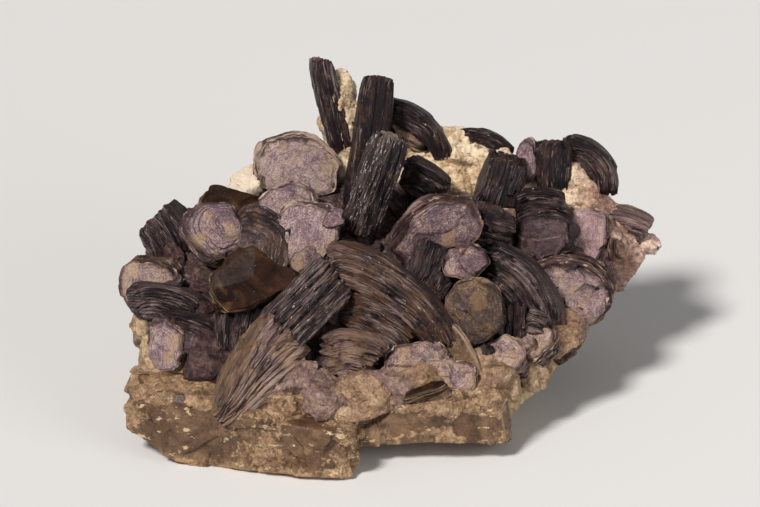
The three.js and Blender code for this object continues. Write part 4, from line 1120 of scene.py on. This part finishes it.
def filler_places(points, normals):
    """Up to FILLERS of the albite's points that are crowded and far enough apart, in a mixed order."""
    crowd = crowding(points) + 0.25 * rough_noise(points / 9, 78, 2)
    fit = (crowd >= FILLER_CROWD) & (points[:, 2] >= FILLER_BOTTOM) & (normals[:, 1] <= FILLER_BACK)
    chosen = []
    for i in np.argsort(lattice(np.stack([np.arange(len(points))] * 3, -1), 77)):
        if fit[i] and all(np.linalg.norm(points[i] - points[other]) >= FILLER_SPACE for other in chosen):
            chosen.append(i)
        if len(chosen) == FILLERS:
            break
    return chosen


def fillers():
    """Small mica books and lumps on the crowded albite, by kind and tone."""
    points, normals = surface_of(albite)
    builds = {}
    for n, i in enumerate(filler_places(points, normals)):
        place, normal = points[i], normals[i]
        if place[0] > BARE_END[0] and place[2] < BARE_END[1]:
            continue
        pick = [chance(n, FILLER_DRAWS + k) for k in range(9)]
        length = FILLER_LENGTH[0] + FILLER_LENGTH[1] * pick[0] ** 2
        tone = next(tone for most, tone in FILLER_TONES if pick[1] < most)
        broken = pick[8] < FILLER_BROKEN
        size = (length, length * (0.6 + 0.3 * pick[2]), length * (0.25 + 0.3 * pick[3] + 0.3 * broken))
        crystal = {**PLAIN, "name": "filler", "seed": FILLER_SEED + n, "size": size}
        facing = Vector(normal).lerp(Vector((pick[4] - 0.5, pick[5] - 0.7, pick[6] - 0.3)) * 2, 0.55)
        turn = facing.to_track_quat("Z", "Y").to_matrix() @ Matrix.Rotation(2 * math.pi * pick[7], 3, "Z")
        build = broken_lump(crystal) if broken else Book(crystal).build()
        spot = place + normal * 0.12 * length
        kind = ("small_lumps_" if broken else "small_books_") + tone
        builds.setdefault(kind, []).append((build[0] @ np.array(turn).T + spot, *build[1:]))
    return builds


for kind, builds in fillers().items():
    tone = kind.split("_")[2]
    material = (crusts if "lumps" in kind else materials)[tone]
    finish_piece(mesh_of(kind, builds), kind, material, None)

# The stage: a pale floor, soft studio light and the photograph's camera
FLOOR_REACH = 4  # metres


def show(name, data, place=(0, 0, 0)):
    """A new object in the scene, at a place in metres."""
    thing = bpy.data.objects.new(name, data)
    thing.location = place
    bpy.context.scene.collection.objects.link(thing)
    return thing


floor_mesh = bpy.data.meshes.new("floor")
corners = [(FLOOR_REACH * x, FLOOR_REACH * y, 0) for x, y in ((-1, -1), (1, -1), (1, 1), (-1, 1))]
floor_mesh.from_pydata(corners, [], [(0, 1, 2, 3)])
floor_mesh.materials.append(Graph("floor_paint").surface((0.7, 0.7, 0.7, 1), 0.7, 0.5, 0.0))
floor = show("floor", floor_mesh)

world = bpy.data.worlds.new("studio")
bpy.context.scene.world = world
world.use_nodes = True
world.node_tree.nodes["Background"].inputs[0].default_value = (1, 0.98, 0.96, 1)
world.node_tree.nodes["Background"].inputs[1].default_value = 0.2

key = bpy.data.lights.new("key", "SUN")
key.energy, key.angle, key.color = 3.6, math.radians(12), (1, 0.96, 0.92)
show("key", key).rotation_euler = Vector((0.5, 0.62, -0.9)).to_track_quat("-Z", "Y").to_euler()

fill = bpy.data.lights.new("fill", "AREA")
fill.size, fill.energy = 0.6, 3
FILL_PLACE = Vector((0.7, -0.6, 0.35))
aim = VIEW_CENTRE / 1000 - FILL_PLACE
show("fill", fill, FILL_PLACE).rotation_euler = aim.to_track_quat("-Z", "Y").to_euler()

lens = bpy.data.cameras.new("camera")
lens.sensor_width = SENSOR
lens.lens = SENSOR * VIEW_DISTANCE / FRAME_WIDTH
camera = show("camera", lens, view_matrix() @ Vector((0, 0, VIEW_DISTANCE / 1000)))
camera.rotation_euler = Euler((math.radians(90 - VIEW_TILT), 0, 0))
bpy.context.scene.camera = camera
bpy.context.scene.view_settings.view_transform = "Standard"
